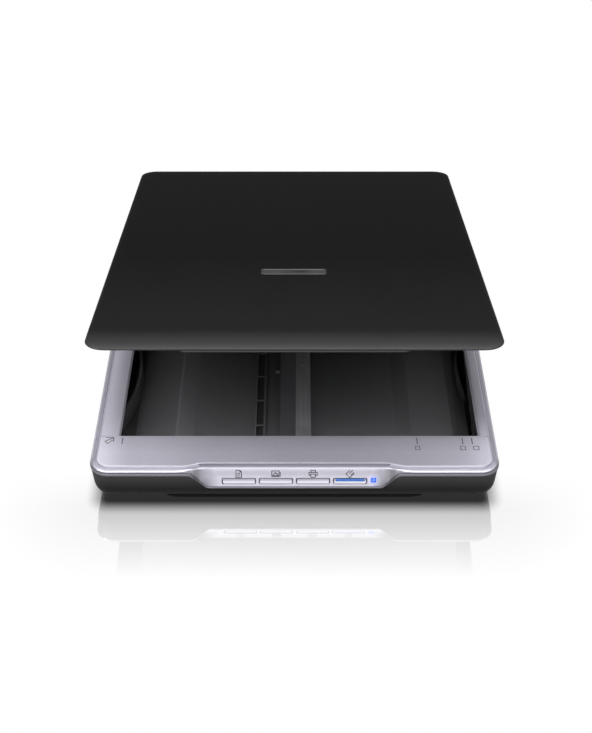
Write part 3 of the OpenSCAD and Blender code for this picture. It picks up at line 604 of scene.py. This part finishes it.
MAT = {
    "silver": silver_paint(),
    "black_case": case_plastic(),
    "black_lid": lid_plastic(),
    "glass": clear_glass("bed_glass", (0.95, 0.95, 0.955), mirror=0.3),
    "tape": moulded("tape_black", (0.02, 0.02, 0.02), 0.6),
    "white_sheet": moulded("white_sheet", (0.64, 0.64, 0.63), 0.6, grain=3000.0, spread=0.02),
    # the rail carries painted shade towards the rear
    "rail_steel": metal("rail_brushed", (0.8, 0.8, 0.81), 0.5, stretch=(1, 0.02, 1), grain=700.0,
                        with_painted_shade=True),
    "rack_plastic": moulded("rack_grey", (0.07, 0.07, 0.075), 0.45),
    "screw_steel": metal("zinc", (0.5, 0.5, 0.53), 0.3),
    "screw_black": metal("black_zinc", (0.07, 0.07, 0.075), 0.35),
    "board": board_green(),
    "chip": moulded("chip_epoxy", (0.015, 0.015, 0.016), 0.5),
    "port_metal": metal("nickel", (0.6, 0.59, 0.57), 0.2),
    "switch_metal": metal("tin", (0.6, 0.6, 0.6), 0.3),
    "lens_blue": lamp_lens(),
    "ribbon": patterned("ribbon_film", "TexWave", "Fac", 320.0,
                        [(0.35, (0.5, 0.51, 0.54)), (0.6, (0.78, 0.79, 0.8))],
                        0.4, 0.03, bands_direction="X"),
    "foot_rubber": moulded("foot_rubber", (0.016, 0.016, 0.016), 0.8, grain=2000.0, depth=0.02, spec=0.3),
    "pin_steel": metal("ground_steel", (0.58, 0.58, 0.6), 0.22, stretch=(0.05, 1, 1)),
    "foam": patterned("foam_open", "TexVoronoi", "Distance", 1300.0,
                      [(0.1, (0.25, 0.25, 0.24)), (0.5, (0.6, 0.6, 0.57))], 0.95, 0.3),
    "badge": metal("badge_satin", (0.36, 0.36, 0.37), 0.34, stretch=(0.05, 1, 1), grain=1200.0),
    "stripe_blue": moulded("stripe_blue", (0.012, 0.1, 0.36), 0.35, spread=0.06),
    "gear_plastic": moulded("acetal", (0.68, 0.67, 0.6), 0.35, spread=0.04),
    "motor_metal": metal("motor_can", (0.5, 0.5, 0.52), 0.32, stretch=(1, 1, 0.1)),
    "spring_steel": metal("spring_wire", (0.5, 0.5, 0.52), 0.25),
    "sensor_black": moulded("sensor_black", (0.014, 0.014, 0.015), 0.4),
    "lens_clear": clear_glass("lens_row", (0.35, 0.45, 0.42), 0.1),
    "guide_clear": clear_glass("light_guide", (0.75, 0.8, 0.86), 0.08),
    "brass": metal("brass", (0.6, 0.43, 0.16), 0.25),
}
MAT["silver_button"] = MAT["silver"]
INK = moulded("mark_ink", (0.028, 0.027, 0.033), 0.5, grain=1500.0)


# ---------------------------------------------------------------- silver frame

# Profile from the inside foot, round the outside, to the deck: (distance in from the outline, height).
RIM_ROWS = [(2.4, 26.5), (0.25, 26.45), (0.0, 26.7), (0.0, 27.4), (0.0, 28.05), (0.08, 28.2), (1.08, 28.26),
            (1.14, 28.6), (1.2, 28.72), (1.45, 28.88), (1.8, 29.1), (2.15, 29.3), (2.45, 29.45), (2.7, 29.5),
            (2.95, 29.4), (3.2, 29.08), (3.4, 28.9), (3.8, 28.9), (4.05, 29.0), (4.2, 29.4), (4.32, 30.3),
            (4.38, 30.75), (4.55, 31.02), (4.85, 31.16), (5.2, DECK_Z), (6.2, DECK_Z)]


def on_slope(z):
    """Distance in from the outline at which the panel's plane reaches a height."""
    return (z - PANEL_LOW_Z) * math.tan(PANEL_LEAN)


# The same rows where they pass the control panel.
PANEL_ROWS = [(2.6, 16.9), (0.25, 16.85), (0.0, 17.0), (0.0, 17.2), (0.02, 17.35), (0.1, 17.5), (0.66, 17.6),
              (0.8, 18.0), (on_slope(18.1), 18.1), (on_slope(19.0), 19.0), (on_slope(23.0), 23.0),
              (on_slope(27.0), 27.0), (on_slope(28.8), 28.8), (4.62, 29.3), (5.0, 29.5), (5.9, 29.02),
              (6.15, 28.95), (6.5, 28.95), (6.75, 29.05), (6.88, 29.4), (7.0, 30.4), (7.05, 30.8),
              (7.12, 31.02), (7.28, 31.16), (7.5, DECK_Z), (8.4, DECK_Z)]
# How far each row follows the upper edge of the panel's ends, and how widely it is softened there.
ROW_CLIMB = [0] * 9 + [0.1, 0.45, 0.8, 0.96] + [1] * 13
ROW_SOFT = [0.5] * 9 + [5.0] * 3 + [3.2] + [1.6] * 13
FIRST_WALL_ROW = 19
# Window edge and underside: (distance out from the window, height).
LIP_ROWS = [(1.7, DECK_Z), (1.15, DECK_Z - 0.05), (0.98, DECK_Z - 0.22), (0.12, GLASS_TOP + 0.24),
            (0.0, GLASS_TOP + 0.1), (0.0, GLASS_TOP + 0.02), (0.7, GLASS_TOP + 0.02),
            (0.7, GLASS_TOP + TAPE_T + 0.02), (4.3, GLASS_TOP + TAPE_T + 0.02), (4.3, 29.0)]
# Back to the foot, under the deck.
INNER_ROWS = [(6.6, 29.0), (6.6, 27.2), (2.5, 27.2)]
PANEL_INNER_ROWS = [(8.9, 29.0), (6.3, 27.2), (2.7, 17.6)]
INNER_SOFT = 1.6


def panel_share(x):
    """1 inside the control panel, 0 outside it, measured along its upper edge."""
    return min(max((PANEL_END_X - abs(x)) / (PANEL_END_X - PANEL_TOP_X), 0.0), 1.0)


def foot_x(x):
    """Where the lower edge of a column stands when its upper edge stands at x."""
    a = abs(x)
    if a <= PANEL_TOP_X:
        b = a * NOTCH_LOW_X / PANEL_TOP_X
    elif a <= PANEL_END_X:
        b = NOTCH_LOW_X + (a - PANEL_TOP_X) * (NOTCH_HIGH_X - NOTCH_LOW_X) / (PANEL_END_X - PANEL_TOP_X)
    elif a <= PANEL_FADE_X:
        b = NOTCH_HIGH_X + (a - PANEL_END_X) * (PANEL_FADE_X - NOTCH_HIGH_X) / (PANEL_FADE_X - PANEL_END_X)
    else:
        b = a
    return math.copysign(b, x)


def passes_panel(base, normal):
    return normal.y < -0.999 and abs(base.x) < PANEL_FADE_X + 5


def mixed_row(outside, inside, share):
    """(distance in, height) of a row between its outer and its panel place."""
    return [a + (b - a) * share for a, b in zip(outside, inside)]


def rim_column(base, normal):
    """Points of the outer rows at one place of the outline."""
    on_front = passes_panel(base, normal)
    column = []
    for k, (outside, inside) in enumerate(zip(RIM_ROWS, PANEL_ROWS)):
        share = softened(panel_share, base.x, ROW_SOFT[k]) if on_front else 0.0
        slide = (foot_x(base.x) - base.x) * (1 - ROW_CLIMB[k]) if on_front else 0.0
        inward, z = mixed_row(outside, inside, share)
        p = base - normal * inward
        if k >= FIRST_WALL_ROW and p.y > LEDGE_Y:
            z = min(z, LEDGE_Z)
        column.append(Vector((p.x + slide, p.y, z)))
    return column


def inner_column(base, normal):
    """Points under the deck that close the section."""
    share = softened(panel_share, base.x, INNER_SOFT) if passes_panel(base, normal) else 0.0
    column = []
    for outside, inside in zip(INNER_ROWS, PANEL_INNER_ROWS):
        inward, z = mixed_row(outside, inside, share)
        p = base - normal * inward
        column.append(Vector((p.x, p.y, z)))
    return column


def front_outline():
    """Outline of the front cover, left end to right end, going round the front."""
    r, y_end = BODY_R, COVER_SEAM_Y - SEAM_GAP
    corner_x, corner_y = HALF_W - r, -HALF_D + r
    path = line_points(-HALF_W, y_end, -HALF_W, corner_y, (-1, 0), 4, 0, 3)
    path += arc_points(-corner_x, corner_y, r, 180, 270, 20)[:-1]
    dense = list(range(40, 76))
    xs = [-corner_x, -95, -85] + [-x for x in reversed(dense)] + list(range(-32, 33, 8)) + dense + [85, 95]
    path += [(Vector((x, -HALF_D)), Vector((0, -1))) for x in xs]
    path += arc_points(corner_x, corner_y, r, 270, 360, 20)
    path += line_points(HALF_W, corner_y, HALF_W, y_end, (1, 0), 4, 1, 4)
    return path


def front_cover_shell():
    """Silver deck with the control panel, cut out for the buttons and the lamp."""
    path = front_outline()
    columns = []
    for i, (base, normal) in enumerate(path):
        t = i / (len(path) - 1)
        lip = [Vector((WINDOW_X0 - out + (WINDOW_X1 - WINDOW_X0 + 2 * out) * t, WINDOW_Y0 - out, z))
               for out, z in LIP_ROWS]
        columns.append(rim_column(base, normal) + lip + inner_column(base, normal))
    obj = loose_mesh("front_cover_shell", *stack(columns))
    hole = round_rect(BUTTON_W + 1.1, BUTTON_H + 0.7, (0.9, 0.9, 1.4, 1.4))
    holes = [moved(hole, (k - 1.5) * BUTTON_PITCH, 0.2) for k in range(4)]
    holes.append(moved(round_rect(LED_HOLE, LED_HOLE, (0.5,) * 4), LED_X, LED_UP))
    boolean_cut(obj, [cutter(outline, panel_point, 3, -4) for outline in holes])
    finish_piece(obj, "base", "silver", ("front_cover",), 28)


def side_frame_shell():
    """Silver bezel along both sides and the rear, with pockets for the hinge posts."""
    r, y0 = BODY_R, COVER_SEAM_Y + SEAM_GAP
    cx, cy = HALF_W - r, HALF_D - r
    left = line_points(-HALF_W, y0, -HALF_W, cy, (-1, 0), 6, 0, 5)
    corner_l = arc_points(-cx, cy, r, 180, 90, 20)
    rear = line_points(-cx, HALF_D, cx, HALF_D, (0, 1), 6, 1, 5)
    corner_r = arc_points(cx, cy, r, 90, 0, 20)
    path = left + corner_l + rear + corner_r + line_points(HALF_W, cy, HALF_W, y0, (1, 0), 6, 1, 6)
    first_mid = len(left) + 10
    last_mid = len(left) + len(corner_l) + len(rear) + 10
    columns = []
    for i, (base, normal) in enumerate(path):
        lip = []
        for out, z in LIP_ROWS:
            x0, x1, y1 = WINDOW_X0 - out, WINDOW_X1 + out, WINDOW_Y1 + out
            if first_mid < i < last_mid:
                t = (i - first_mid) / (last_mid - first_mid)
                lip.append(Vector((x0 + (x1 - x0) * t, y1, z)))
            else:
                on_left = i <= first_mid
                t = i / first_mid if on_left else (len(path) - 1 - i) / (len(path) - 1 - last_mid)
                lip.append(Vector((x0 if on_left else x1, (WINDOW_Y0 - out) * (1 - t) + y1 * t, z)))
        columns.append(rim_column(base, normal) + lip + inner_column(base, normal))
    obj = loose_mesh("side_frame_shell", *stack(columns))
    cutters = [cutter(box_outline(-130, LEDGE_Y, 130, HALF_D - 4), upright, 40, LEDGE_Z)]
    stem_w, stem_y0, stem_y1 = 16.1, POSTS_LOW.y - 0.1, POSTS_LOW.y + 4.3
    for side in (-1, 1):
        mid = side * (POSTS_HIGH.x - stem_w / 2)
        pocket = box_outline(mid - stem_w / 2, stem_y0, mid + stem_w / 2, stem_y1)
        cutters.append(cutter(pocket, upright, 40, 20))
    boolean_cut(obj, cutters)
    finish_piece(obj, "base", "silver", ("side_frame",), 28)


def upright(x, y, z):
    return Vector((x, y, z))


# ---------------------------------------------------------------- lid

# Rows from the middle of the top, over the edge, to the inside: (distance in from the outline, height).
LID_TOP_ROWS = [(60, 0.0), (30, 0.0), (18, -0.01), (10, -0.04), (5.5, -0.1), (3.0, -0.2), (1.5, -0.42),
                (0.7, -0.72), (0.22, -1.1), (0.0, -1.5), (0.0, -1.82), (0.18, -2.02), (0.7, -2.2)]
LID_SKIRT_ROWS = [(3.0, -2.5), (5.6, -2.95), (6.1, -3.2), (7.6, -6.3), (7.9, -6.5), (8.9, -6.5), (7.7, -1.7)]
FRONT_CURVE_L = 26.0
FRONT_CURVE_DROP = 1.0
# Rows lower than this keep straight, clear of the parts inside the lid.
STRAIGHT_BELOW = -3.4


def front_drop(y):
    """How far the lid's top curves down near its front edge."""
    t = (LID_FRONT + FRONT_CURVE_L - y) / FRONT_CURVE_L
    return FRONT_CURVE_DROP * max(t, 0.0) ** 2


def lid_outline():
    """(point, normal) pairs round the lid, counter-clockwise."""
    cx, r, side = LID_W / 2 - LID_R, LID_R, LID_W / 2
    cy0, cy1 = LID_FRONT + LID_R, LID_REAR - LID_R
    path = arc_points(cx, cy1, r, 0, 90, 16) + line_points(cx, LID_REAR, -cx, LID_REAR, (0, 1), 12, 1, 11)
    path += arc_points(-cx, cy1, r, 90, 180, 16)
    curve_y = cy0 + 22
    ys = [cy1 + (curve_y - cy1) * i / 8 for i in range(1, 9)] + [curve_y - 2.2 * i for i in range(1, 10)]
    path += [(Vector((-side, y)), Vector((-1, 0))) for y in ys]
    path += arc_points(-cx, cy0, r, 180, 270, 16)
    path += line_points(-cx, LID_FRONT, cx, LID_FRONT, (0, -1), 12, 1, 11)
    path += arc_points(cx, cy0, r, 270, 360, 16)
    path += [(Vector((side, y)), Vector((1, 0))) for y in reversed(ys)]
    return path


def inset_point(base, normal, inward, outline_mid):
    """Moves a point of the lid's outline inward; deep insets shrink towards the middle."""
    limit = LID_R - 0.5
    p = base - normal * min(inward, limit)
    extra = inward - limit
    if extra > 0:
        half_x, half_y = LID_W / 2 - limit, LID_L / 2 - limit
        d = p - outline_mid
        p = outline_mid + Vector((d.x * (half_x - extra) / half_x, d.y * (half_y - extra) / half_y))
    return p


def on_lid(x, y, z):
    return lid_point((x, y, z))


def lid_cover_shell():
    """Thin black shell with a curved front edge, open underneath."""
    path = lid_outline()
    mid = Vector((0, (LID_FRONT + LID_REAR) / 2))
    rows = LID_TOP_ROWS + LID_SKIRT_ROWS
    points = []
    for base, normal in path:
        for inward, dz in rows:
            p = inset_point(base, normal, inward, mid)
            drop = front_drop(p.y) if dz > STRAIGHT_BELOW else 0.0
            points.append(on_lid(p.x, p.y, LID_TOP + dz - drop))
    n = len(rows)
    faces = grid_faces(n, len(path), closed_rows=False, closed_columns=True)
    faces.append(tuple(i * n for i in range(len(path))))
    faces.append(tuple(i * n + n - 1 for i in reversed(range(len(path)))))
    obj = loose_mesh("lid_cover_shell", points, faces)
    hinge_x = POSTS_HIGH.x - 8
    notches = [box_outline(side * hinge_x - 11, 160, side * hinge_x + 11, 190) for side in (-1, 1)]
    cutters = [cutter(notch, on_lid, LID_TOP - 1.45, 28) for notch in notches]
    recess = moved(round_rect(BADGE_W, BADGE_H, (BADGE_R,) * 4), BADGE_X, BADGE_Y)
    cutters.append(cutter(recess, on_lid, LID_TOP + 2, LID_TOP - 0.25))
    boolean_cut(obj, cutters)
    finish_piece(obj, "lid", "black_lid", ("lid_cover",), 30)


def grip_lip():
    """Finger lip under the middle of the lid's front edge."""
    ends = [64.4, 64.9, 65.9, 66.4]
    xs = [-x for x in reversed(ends)] + [-64.4 + 128.8 * i / 8 for i in range(1, 8)] + ends
    reach = {66.4: -0.6, 65.9: 0.2, 64.9: 1.4}
    section = [(3.5, -2.4), (0.3, -2.3), (-0.75, -2.15), (-1.0, -2.35), (-0.95, -2.75),
               (-0.4, -3.1), (3.5, -3.3)]
    base_z = LID_TOP - FRONT_CURVE_DROP * 0.8
    columns = []
    for x in xs:
        out = reach.get(round(abs(x), 1), 1.7)
        columns.append([on_lid(x, LID_FRONT + (inward if inward > 0 else inward * out), base_z + dz)
                        for inward, dz in section])
    make_piece("lid_grip_lip", *stack(columns), "lid", "black_lid", sharp=40)


def badge_plate():
    """Plain raised plate in the lid's recess."""
    rings = [(0.05, -0.25), (0.05, 0.02), (0.3, 0.1), (1.6, 0.14), (1.75, 0.06), (2.6, 0.06)]
    outlines = []
    for inset, dz in rings:
        outline = round_rect(BADGE_W - 2 * inset, BADGE_H - 2 * inset, (max(BADGE_R - inset, 0.6),) * 4)
        outlines.append([on_lid(a, b, LID_TOP + dz) for a, b in moved(outline, BADGE_X, BADGE_Y)])
    make_piece("badge_plate", *stack(outlines), "lid", "badge", ("lid_badge",), 30)


# ---------------------------------------------------------------- buttons, lamp and marks

def button_piece(index, name, body, node):
    """Crowned push button; its inner part carries the flange and the stem."""
    x = (index - 1.5) * BUTTON_PITCH
    rings = [(0.0, -2.4), (0.0, -0.1), (0.06, 0.08), (0.2, 0.18), (0.45, 0.22), (0.9, 0.24), (1.3, 0.24)]
    dish, least_r = 0.1, 0.12
    outlines = []
    for inset, out in rings:
        r, wide = max(0.75 - inset, least_r), max(1.35 - inset, least_r)
        radii = (r, r, wide if index == 0 else r, wide if index == 3 else r)
        outline = round_rect(BUTTON_W - 2 * inset, BUTTON_H - 2 * inset, radii)
        outlines.append([panel_point(x + a, b, out - (dish * 2 * b / BUTTON_H if out > 0 else 0.0))
                         for a, b in outline])
    points, faces = stack(outlines)
    flange = round_rect(BUTTON_W + 1.4, BUTTON_H + 1.2, (0.4,) * 4)
    stem = [(1.4 * math.cos(math.tau * i / 20), 1.4 * math.sin(math.tau * i / 20)) for i in range(20)]
    for outline, depths in ((flange, (-2.5, -3.4)), (stem, (-3.3, -4.6))):
        more, more_faces = stack([[panel_point(x + a, b, deep) for a, b in outline] for deep in depths])
        faces += [tuple(len(points) + i for i in f) for f in more_faces]
        points += more
    make_piece(name, points, faces, body, "silver_button", (node,), 40)


def panel_insert(name, width, height, radius, least_r, rings, place, body, slot, node):
    """Small rounded block on the panel; rings are (inset, height out of the panel)."""
    outlines = []
    for inset, out in rings:
        outline = round_rect(width - 2 * inset, height - 2 * inset, (max(radius - inset, least_r),) * 4)
        outlines.append([panel_point(a, b, out) for a, b in moved(outline, *place)])
    make_piece(name, *stack(outlines), body, slot, (node,), 40)


INK_T = 0.03


def stroke_piece(name, strokes, place, body, width):
    """Printed lines: each stroke is a list of points; place maps (a, b, height) to the surface."""
    points, faces = [], []
    section = ((1, INK_T), (-1, INK_T), (-1, -INK_T), (1, -INK_T))
    for stroke in strokes:
        closed = len(stroke) > 2 and stroke[0] == stroke[-1]
        path = [Vector(p) for p in (stroke[:-1] if closed else stroke)]
        n, start = len(path), len(points)
        for i, p in enumerate(path):
            before = path[i - 1] if (i > 0 or closed) else None
            after = path[(i + 1) % n] if (i < n - 1 or closed) else None
            d0 = (p - before).normalized() if before is not None else (after - p).normalized()
            d1 = (after - p).normalized() if after is not None else d0
            across = Vector((-d0.y, d0.x))
            normal = Vector((-(d0 + d1).y, (d0 + d1).x))
            normal = normal.normalized() if normal.length > 1e-6 else across
            half = normal * width / 2 / max(abs(normal.dot(across)), 0.5)
            points += [place(p.x + half.x * s, p.y + half.y * s, h) for s, h in section]
        faces += [tuple(start + i for i in f) for f in grid_faces(4, n, closed_columns=closed)]
        if not closed:
            faces.append(tuple(start + k for k in range(4)))
            faces.append(tuple(start + (n - 1) * 4 + k for k in (3, 2, 1, 0)))
    make_piece(name, points, faces, body, "rack_plastic", material=INK)


def on_panel_at(x, up):
    return lambda a, b, h: panel_point(x + a, up + b, h)


def on_deck_at(x, y):
    return lambda a, b, h: Vector((x + a, y + b, DECK_Z + h))


def box_stroke(x0, y0, x1, y1):
    return box_outline(x0, y0, x1, y1) + [(x0, y0)]


def button_icons():
    """Generic signs above the buttons: page, picture, printer, and page corner with a pen."""
    up = 4.95
    icons = {
        "page": [[(-1.7, -2.2), (1.7, -2.2), (1.7, 1.2), (0.7, 2.3), (-1.7, 2.3), (-1.7, -2.2)],
                 [(0.7, 2.3), (0.7, 1.2), (1.7, 1.2)],
                 [(-0.9, 0.2), (0.9, 0.2)], [(-0.9, -0.9), (0.9, -0.9)]],
        "picture": [box_stroke(-2.5, -1.8, 1.9, 1.9), [(2.6, 1.2), (2.6, -1.8)],
                    [(-1.9, -1.2), (-0.5, 0.9), (0.2, -0.2), (0.6, 0.3), (1.4, -1.2), (-1.9, -1.2)]],
        "printer": [box_stroke(-1.4, 0.9, 1.4, 2.3), box_stroke(-1.4, -2.2, 1.4, -0.2),
                    [(-1.4, -1.0), (-2.5, -1.0), (-2.5, 0.9), (2.5, 0.9), (2.5, -1.0), (1.4, -1.0)]],
        "start": [[(-0.2, 2.5), (-2.6, 0.0), (-0.2, -2.5), (2.4, 0.2)], [(-0.9, 0.1), (1.6, 2.3)],
                  [(0.3, -0.9), (2.2, 0.9)]],
    }
    for k, (name, strokes) in enumerate(icons.items()):
        stroke_piece("icon_" + name, strokes, on_panel_at((k - 1.5) * BUTTON_PITCH, up), "base", 0.52)


def deck_marks():
    """Corner arrow and paper size ticks; small page outlines stand where lettering would be."""
    origin_x, tick_y, tick_l = -107.2, -158.0, 6.0
    arrow = [[(-2.6, 0.0), (2.4, 3.4)], [(-2.2, 3.6), (2.6, 3.6), (2.6, -0.4)],
             [(-2.6, 0.0), (-0.6, -2.2), (2.0, 1.2)]]
    stroke_piece("corner_arrow", arrow, on_deck_at(-115.4, -155.2), "base", 0.5)
    ticks = [[(origin_x + size, tick_y), (origin_x + size, tick_y + tick_l)]
             for size in (0.0, 183.4, 211.7, 217.6)]
    stroke_piece("size_ticks", ticks, on_deck_at(0, 0), "base", 0.55)
    pages = [box_stroke(x - w / 2, tick_y - 5.4, x + w / 2, tick_y - 2.0)
             for x, w in ((76.2, 2.6), (104.2, 3.0), (112.4, 3.3))]
    stroke_piece("size_pages", pages, on_deck_at(0, 0), "base", 0.4)


# ---------------------------------------------------------------- springs under the sensor

def sensor_coils():
    """Two coil springs, drawn at one length; the real ones shorten as the sensor is pressed down by the glass."""
    low, high = node_box("sensor_springs")
    wire, coil, turns, steps, sides, press = 0.25, 2.0, 5, 30, 10, 0.6
    length = high.z - low.z
    last = turns * steps
    points, faces = [], []
    for centre_x in (low.x + coil + wire, high.x - coil - wire):
        rings = []
        for i in range(last + 1):
            turn = math.tau * i / steps
            out = Vector((math.cos(turn), math.sin(turn), 0))
            climb = low.z + wire + (length - 2 * wire) * i / last
            middle = Vector((centre_x, (low.y + high.y) / 2, climb)) + out * coil
            around = [math.tau * k / sides for k in range(sides)]
            rings.append([middle + out * wire * math.cos(a) + Vector((0, 0, wire * math.sin(a)))
                          for a in around])
        more, more_faces = stack(rings)
        faces += [tuple(len(points) + i for i in f) for f in more_faces]
        points += more
    obj = make_piece("sensor_coils", points, faces, "carriage", "spring_steel", ("sensor_springs",), 60)
    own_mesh(obj)


# ---------------------------------------------------------------- CAD nodes that stay

def dress_cad_nodes():
    """Gives each shown CAD node its material, merged corners and small edge rounding."""
    slots = {s["node"]: s["material_slot"] for s in frame["record"]["subparts"]}
    plain = {"scan_glass", "sensor_cover_glass", "drive_rack", "drive_gear", "compound_gear",
             "motor_pinion", "rod_lens_array", "light_guide", "glass_tape", "calibration_strip"}
    for name, node in frame["nodes"].items():
        if node.hide_render:
            continue
        node.data.materials.clear()
        node.data.materials.append(MAT[slots[name]])
        if name in plain:
            continue
        weld = node.modifiers.new("weld", "WELD")
        weld.merge_threshold = 0.000001
        flat = node.modifiers.new("flat", "DECIMATE")
        flat.decimate_type = "DISSOLVE"
        flat.angle_limit = math.radians(0.4)
        rounding = node.modifiers.new("rounding", "BEVEL")
        rounding.width = 0.00018
        rounding.segments = 2
        rounding.limit_method = "ANGLE"
        rounding.angle_limit = math.radians(35)
        rounding.harden_normals = True


# ---------------------------------------------------------------- stage

def area_light(name, place, aim, size, power):
    data = bpy.data.lights.new(name, "AREA")
    data.shape = "RECTANGLE"
    data.size, data.size_y = size
    data.energy = power
    obj = bpy.data.objects.new(name, data)
    obj.location = place
    obj.rotation_euler = (Vector(aim) - Vector(place)).to_track_quat("-Z", "Y").to_euler()
    bpy.context.collection.objects.link(obj)


def pale_floor():
    """White floor with a painted contact shadow and a faint mirror image that fades away from the scanner."""
    mesh = bpy.data.meshes.new("pale_floor")
    reach = 6.0
    mesh.from_pydata([(x, y, 0) for x, y in box_outline(-reach, -reach, reach, reach)], [], [(0, 1, 2, 3)])
    floor = bpy.data.objects.new("pale_floor", mesh)
    bpy.context.collection.objects.link(floor)
    material, tree, shader = new_material("floor_pale")
    fill(tree, shader, {"Base Color": (0.3, 0.3, 0.3, 1), "Roughness": 0.8})
    x, y, _ = place_axes(tree)
    over_x = (abs(x) - (HALF_W - 10)).most(0.0)
    over_y = (abs(y) - (HALF_D - 10)).most(0.0)
    away = (over_x * over_x + over_y * over_y).math("SQRT")
    # painted contact shadow: the floor's white glow dims close to the scanner
    light = add_node(tree, "Emission", {"Strength": away.span(0.04, 1.0, 2.2, 16.0, "SMOOTHSTEP")})
    gloss = add_node(tree, "BsdfGlossy", {"Roughness": 0.04, "Color": (1, 1, 1, 1)})
    mirror = away.span(0.47, 0.0, 6, 70) * y.span(1.0, 0.0, -184, -150)
    seen = mix_shaders(tree, mirror, light.outputs["Emission"], gloss.outputs["BSDF"])
    by_camera = tree.nodes.new("ShaderNodeLightPath").outputs["Is Camera Ray"]
    surface = mix_shaders(tree, by_camera, shader.outputs["BSDF"], seen)
    fill(tree, tree.nodes["Material Output"], {"Surface": surface})
    mesh.materials.append(material)


def studio():
    """White surroundings for the camera; for the object, a bright ceiling over dark walls, and softboxes."""
    world = bpy.data.worlds.new("studio")
    bpy.context.scene.world = world
    world.use_nodes = True
    tree = world.node_tree
    seen = tree.nodes["Background"]
    fill(tree, seen, {"Color": (1, 1, 1, 1), "Strength": 1.0})
    up = axes(tree, tree.nodes.new("ShaderNodeTexCoord").outputs["Generated"])[2]
    lit = add_node(tree, "Background", {"Strength": up.span(0.04, 0.95, 0.36, 0.56)})
    by_camera = tree.nodes.new("ShaderNodeLightPath").outputs["Is Camera Ray"]
    surface = mix_shaders(tree, by_camera, lit.outputs["Background"], seen.outputs["Background"])
    fill(tree, tree.nodes["World Output"], {"Surface": surface})
    area_light("front_box", (0, -1.7, 0.42), (0, -0.1, 0.02), (2.6, 0.7), 14)
    area_light("left_box", (-1.05, -0.55, 1.1), (-0.05, -0.1, 0), (0.6, 0.6), 9)
    area_light("right_box", (1.05, -0.55, 1.1), (0.05, -0.1, 0), (0.6, 0.6), 4)
    area_light("key_box", (0, -0.9, 1.35), (0, -0.1, 0), (1.7, 0.9), 18)


def camera():
    """Camera at the photograph's viewing angle, found from the object's known sizes."""
    data = bpy.data.cameras.new("camera")
    focal_px, long_side_px, sensor, pitch_down = 1397.5, 733, 36.0, 36.701
    data.sensor_fit = "VERTICAL"
    data.sensor_height = sensor
    data.lens = focal_px * sensor / long_side_px
    obj = bpy.data.objects.new("camera", data)
    obj.location = Vector((0.9, -824.7, 588.3)) * MM
    obj.rotation_euler = (math.radians(90 - pitch_down), 0, 0)
    bpy.context.collection.objects.link(obj)
    bpy.context.scene.camera = obj


front_cover_shell()
side_frame_shell()
lid_cover_shell()
grip_lip()
badge_plate()
for index, label in enumerate(("document", "picture", "printer", "start")):
    button_piece(index, "key_cap_" + label, label + "_key", "button_" + label)
panel_insert("start_stripe_insert", 17.8, 1.6, 0.4, 0.4, [(0.0, -0.6), (0.0, 0.22), (0.1, 0.27)],
             (1.5 * BUTTON_PITCH, BUTTON_H / 2 - 0.82), "start_key", "stripe_blue", "start_stripe")
panel_insert("led_lens_lit", 3.0, 3.0, 0.5, 0.2, [(0.0, -3.5), (0.0, -0.05), (0.2, 0.1), (0.6, 0.18)],
             (LED_X, LED_UP), "base", "lens_blue", "led_lens")
button_icons()
deck_marks()
sensor_coils()
dress_cad_nodes()
pale_floor()
studio()
camera()
bpy.context.scene.view_settings.view_transform = "Standard"
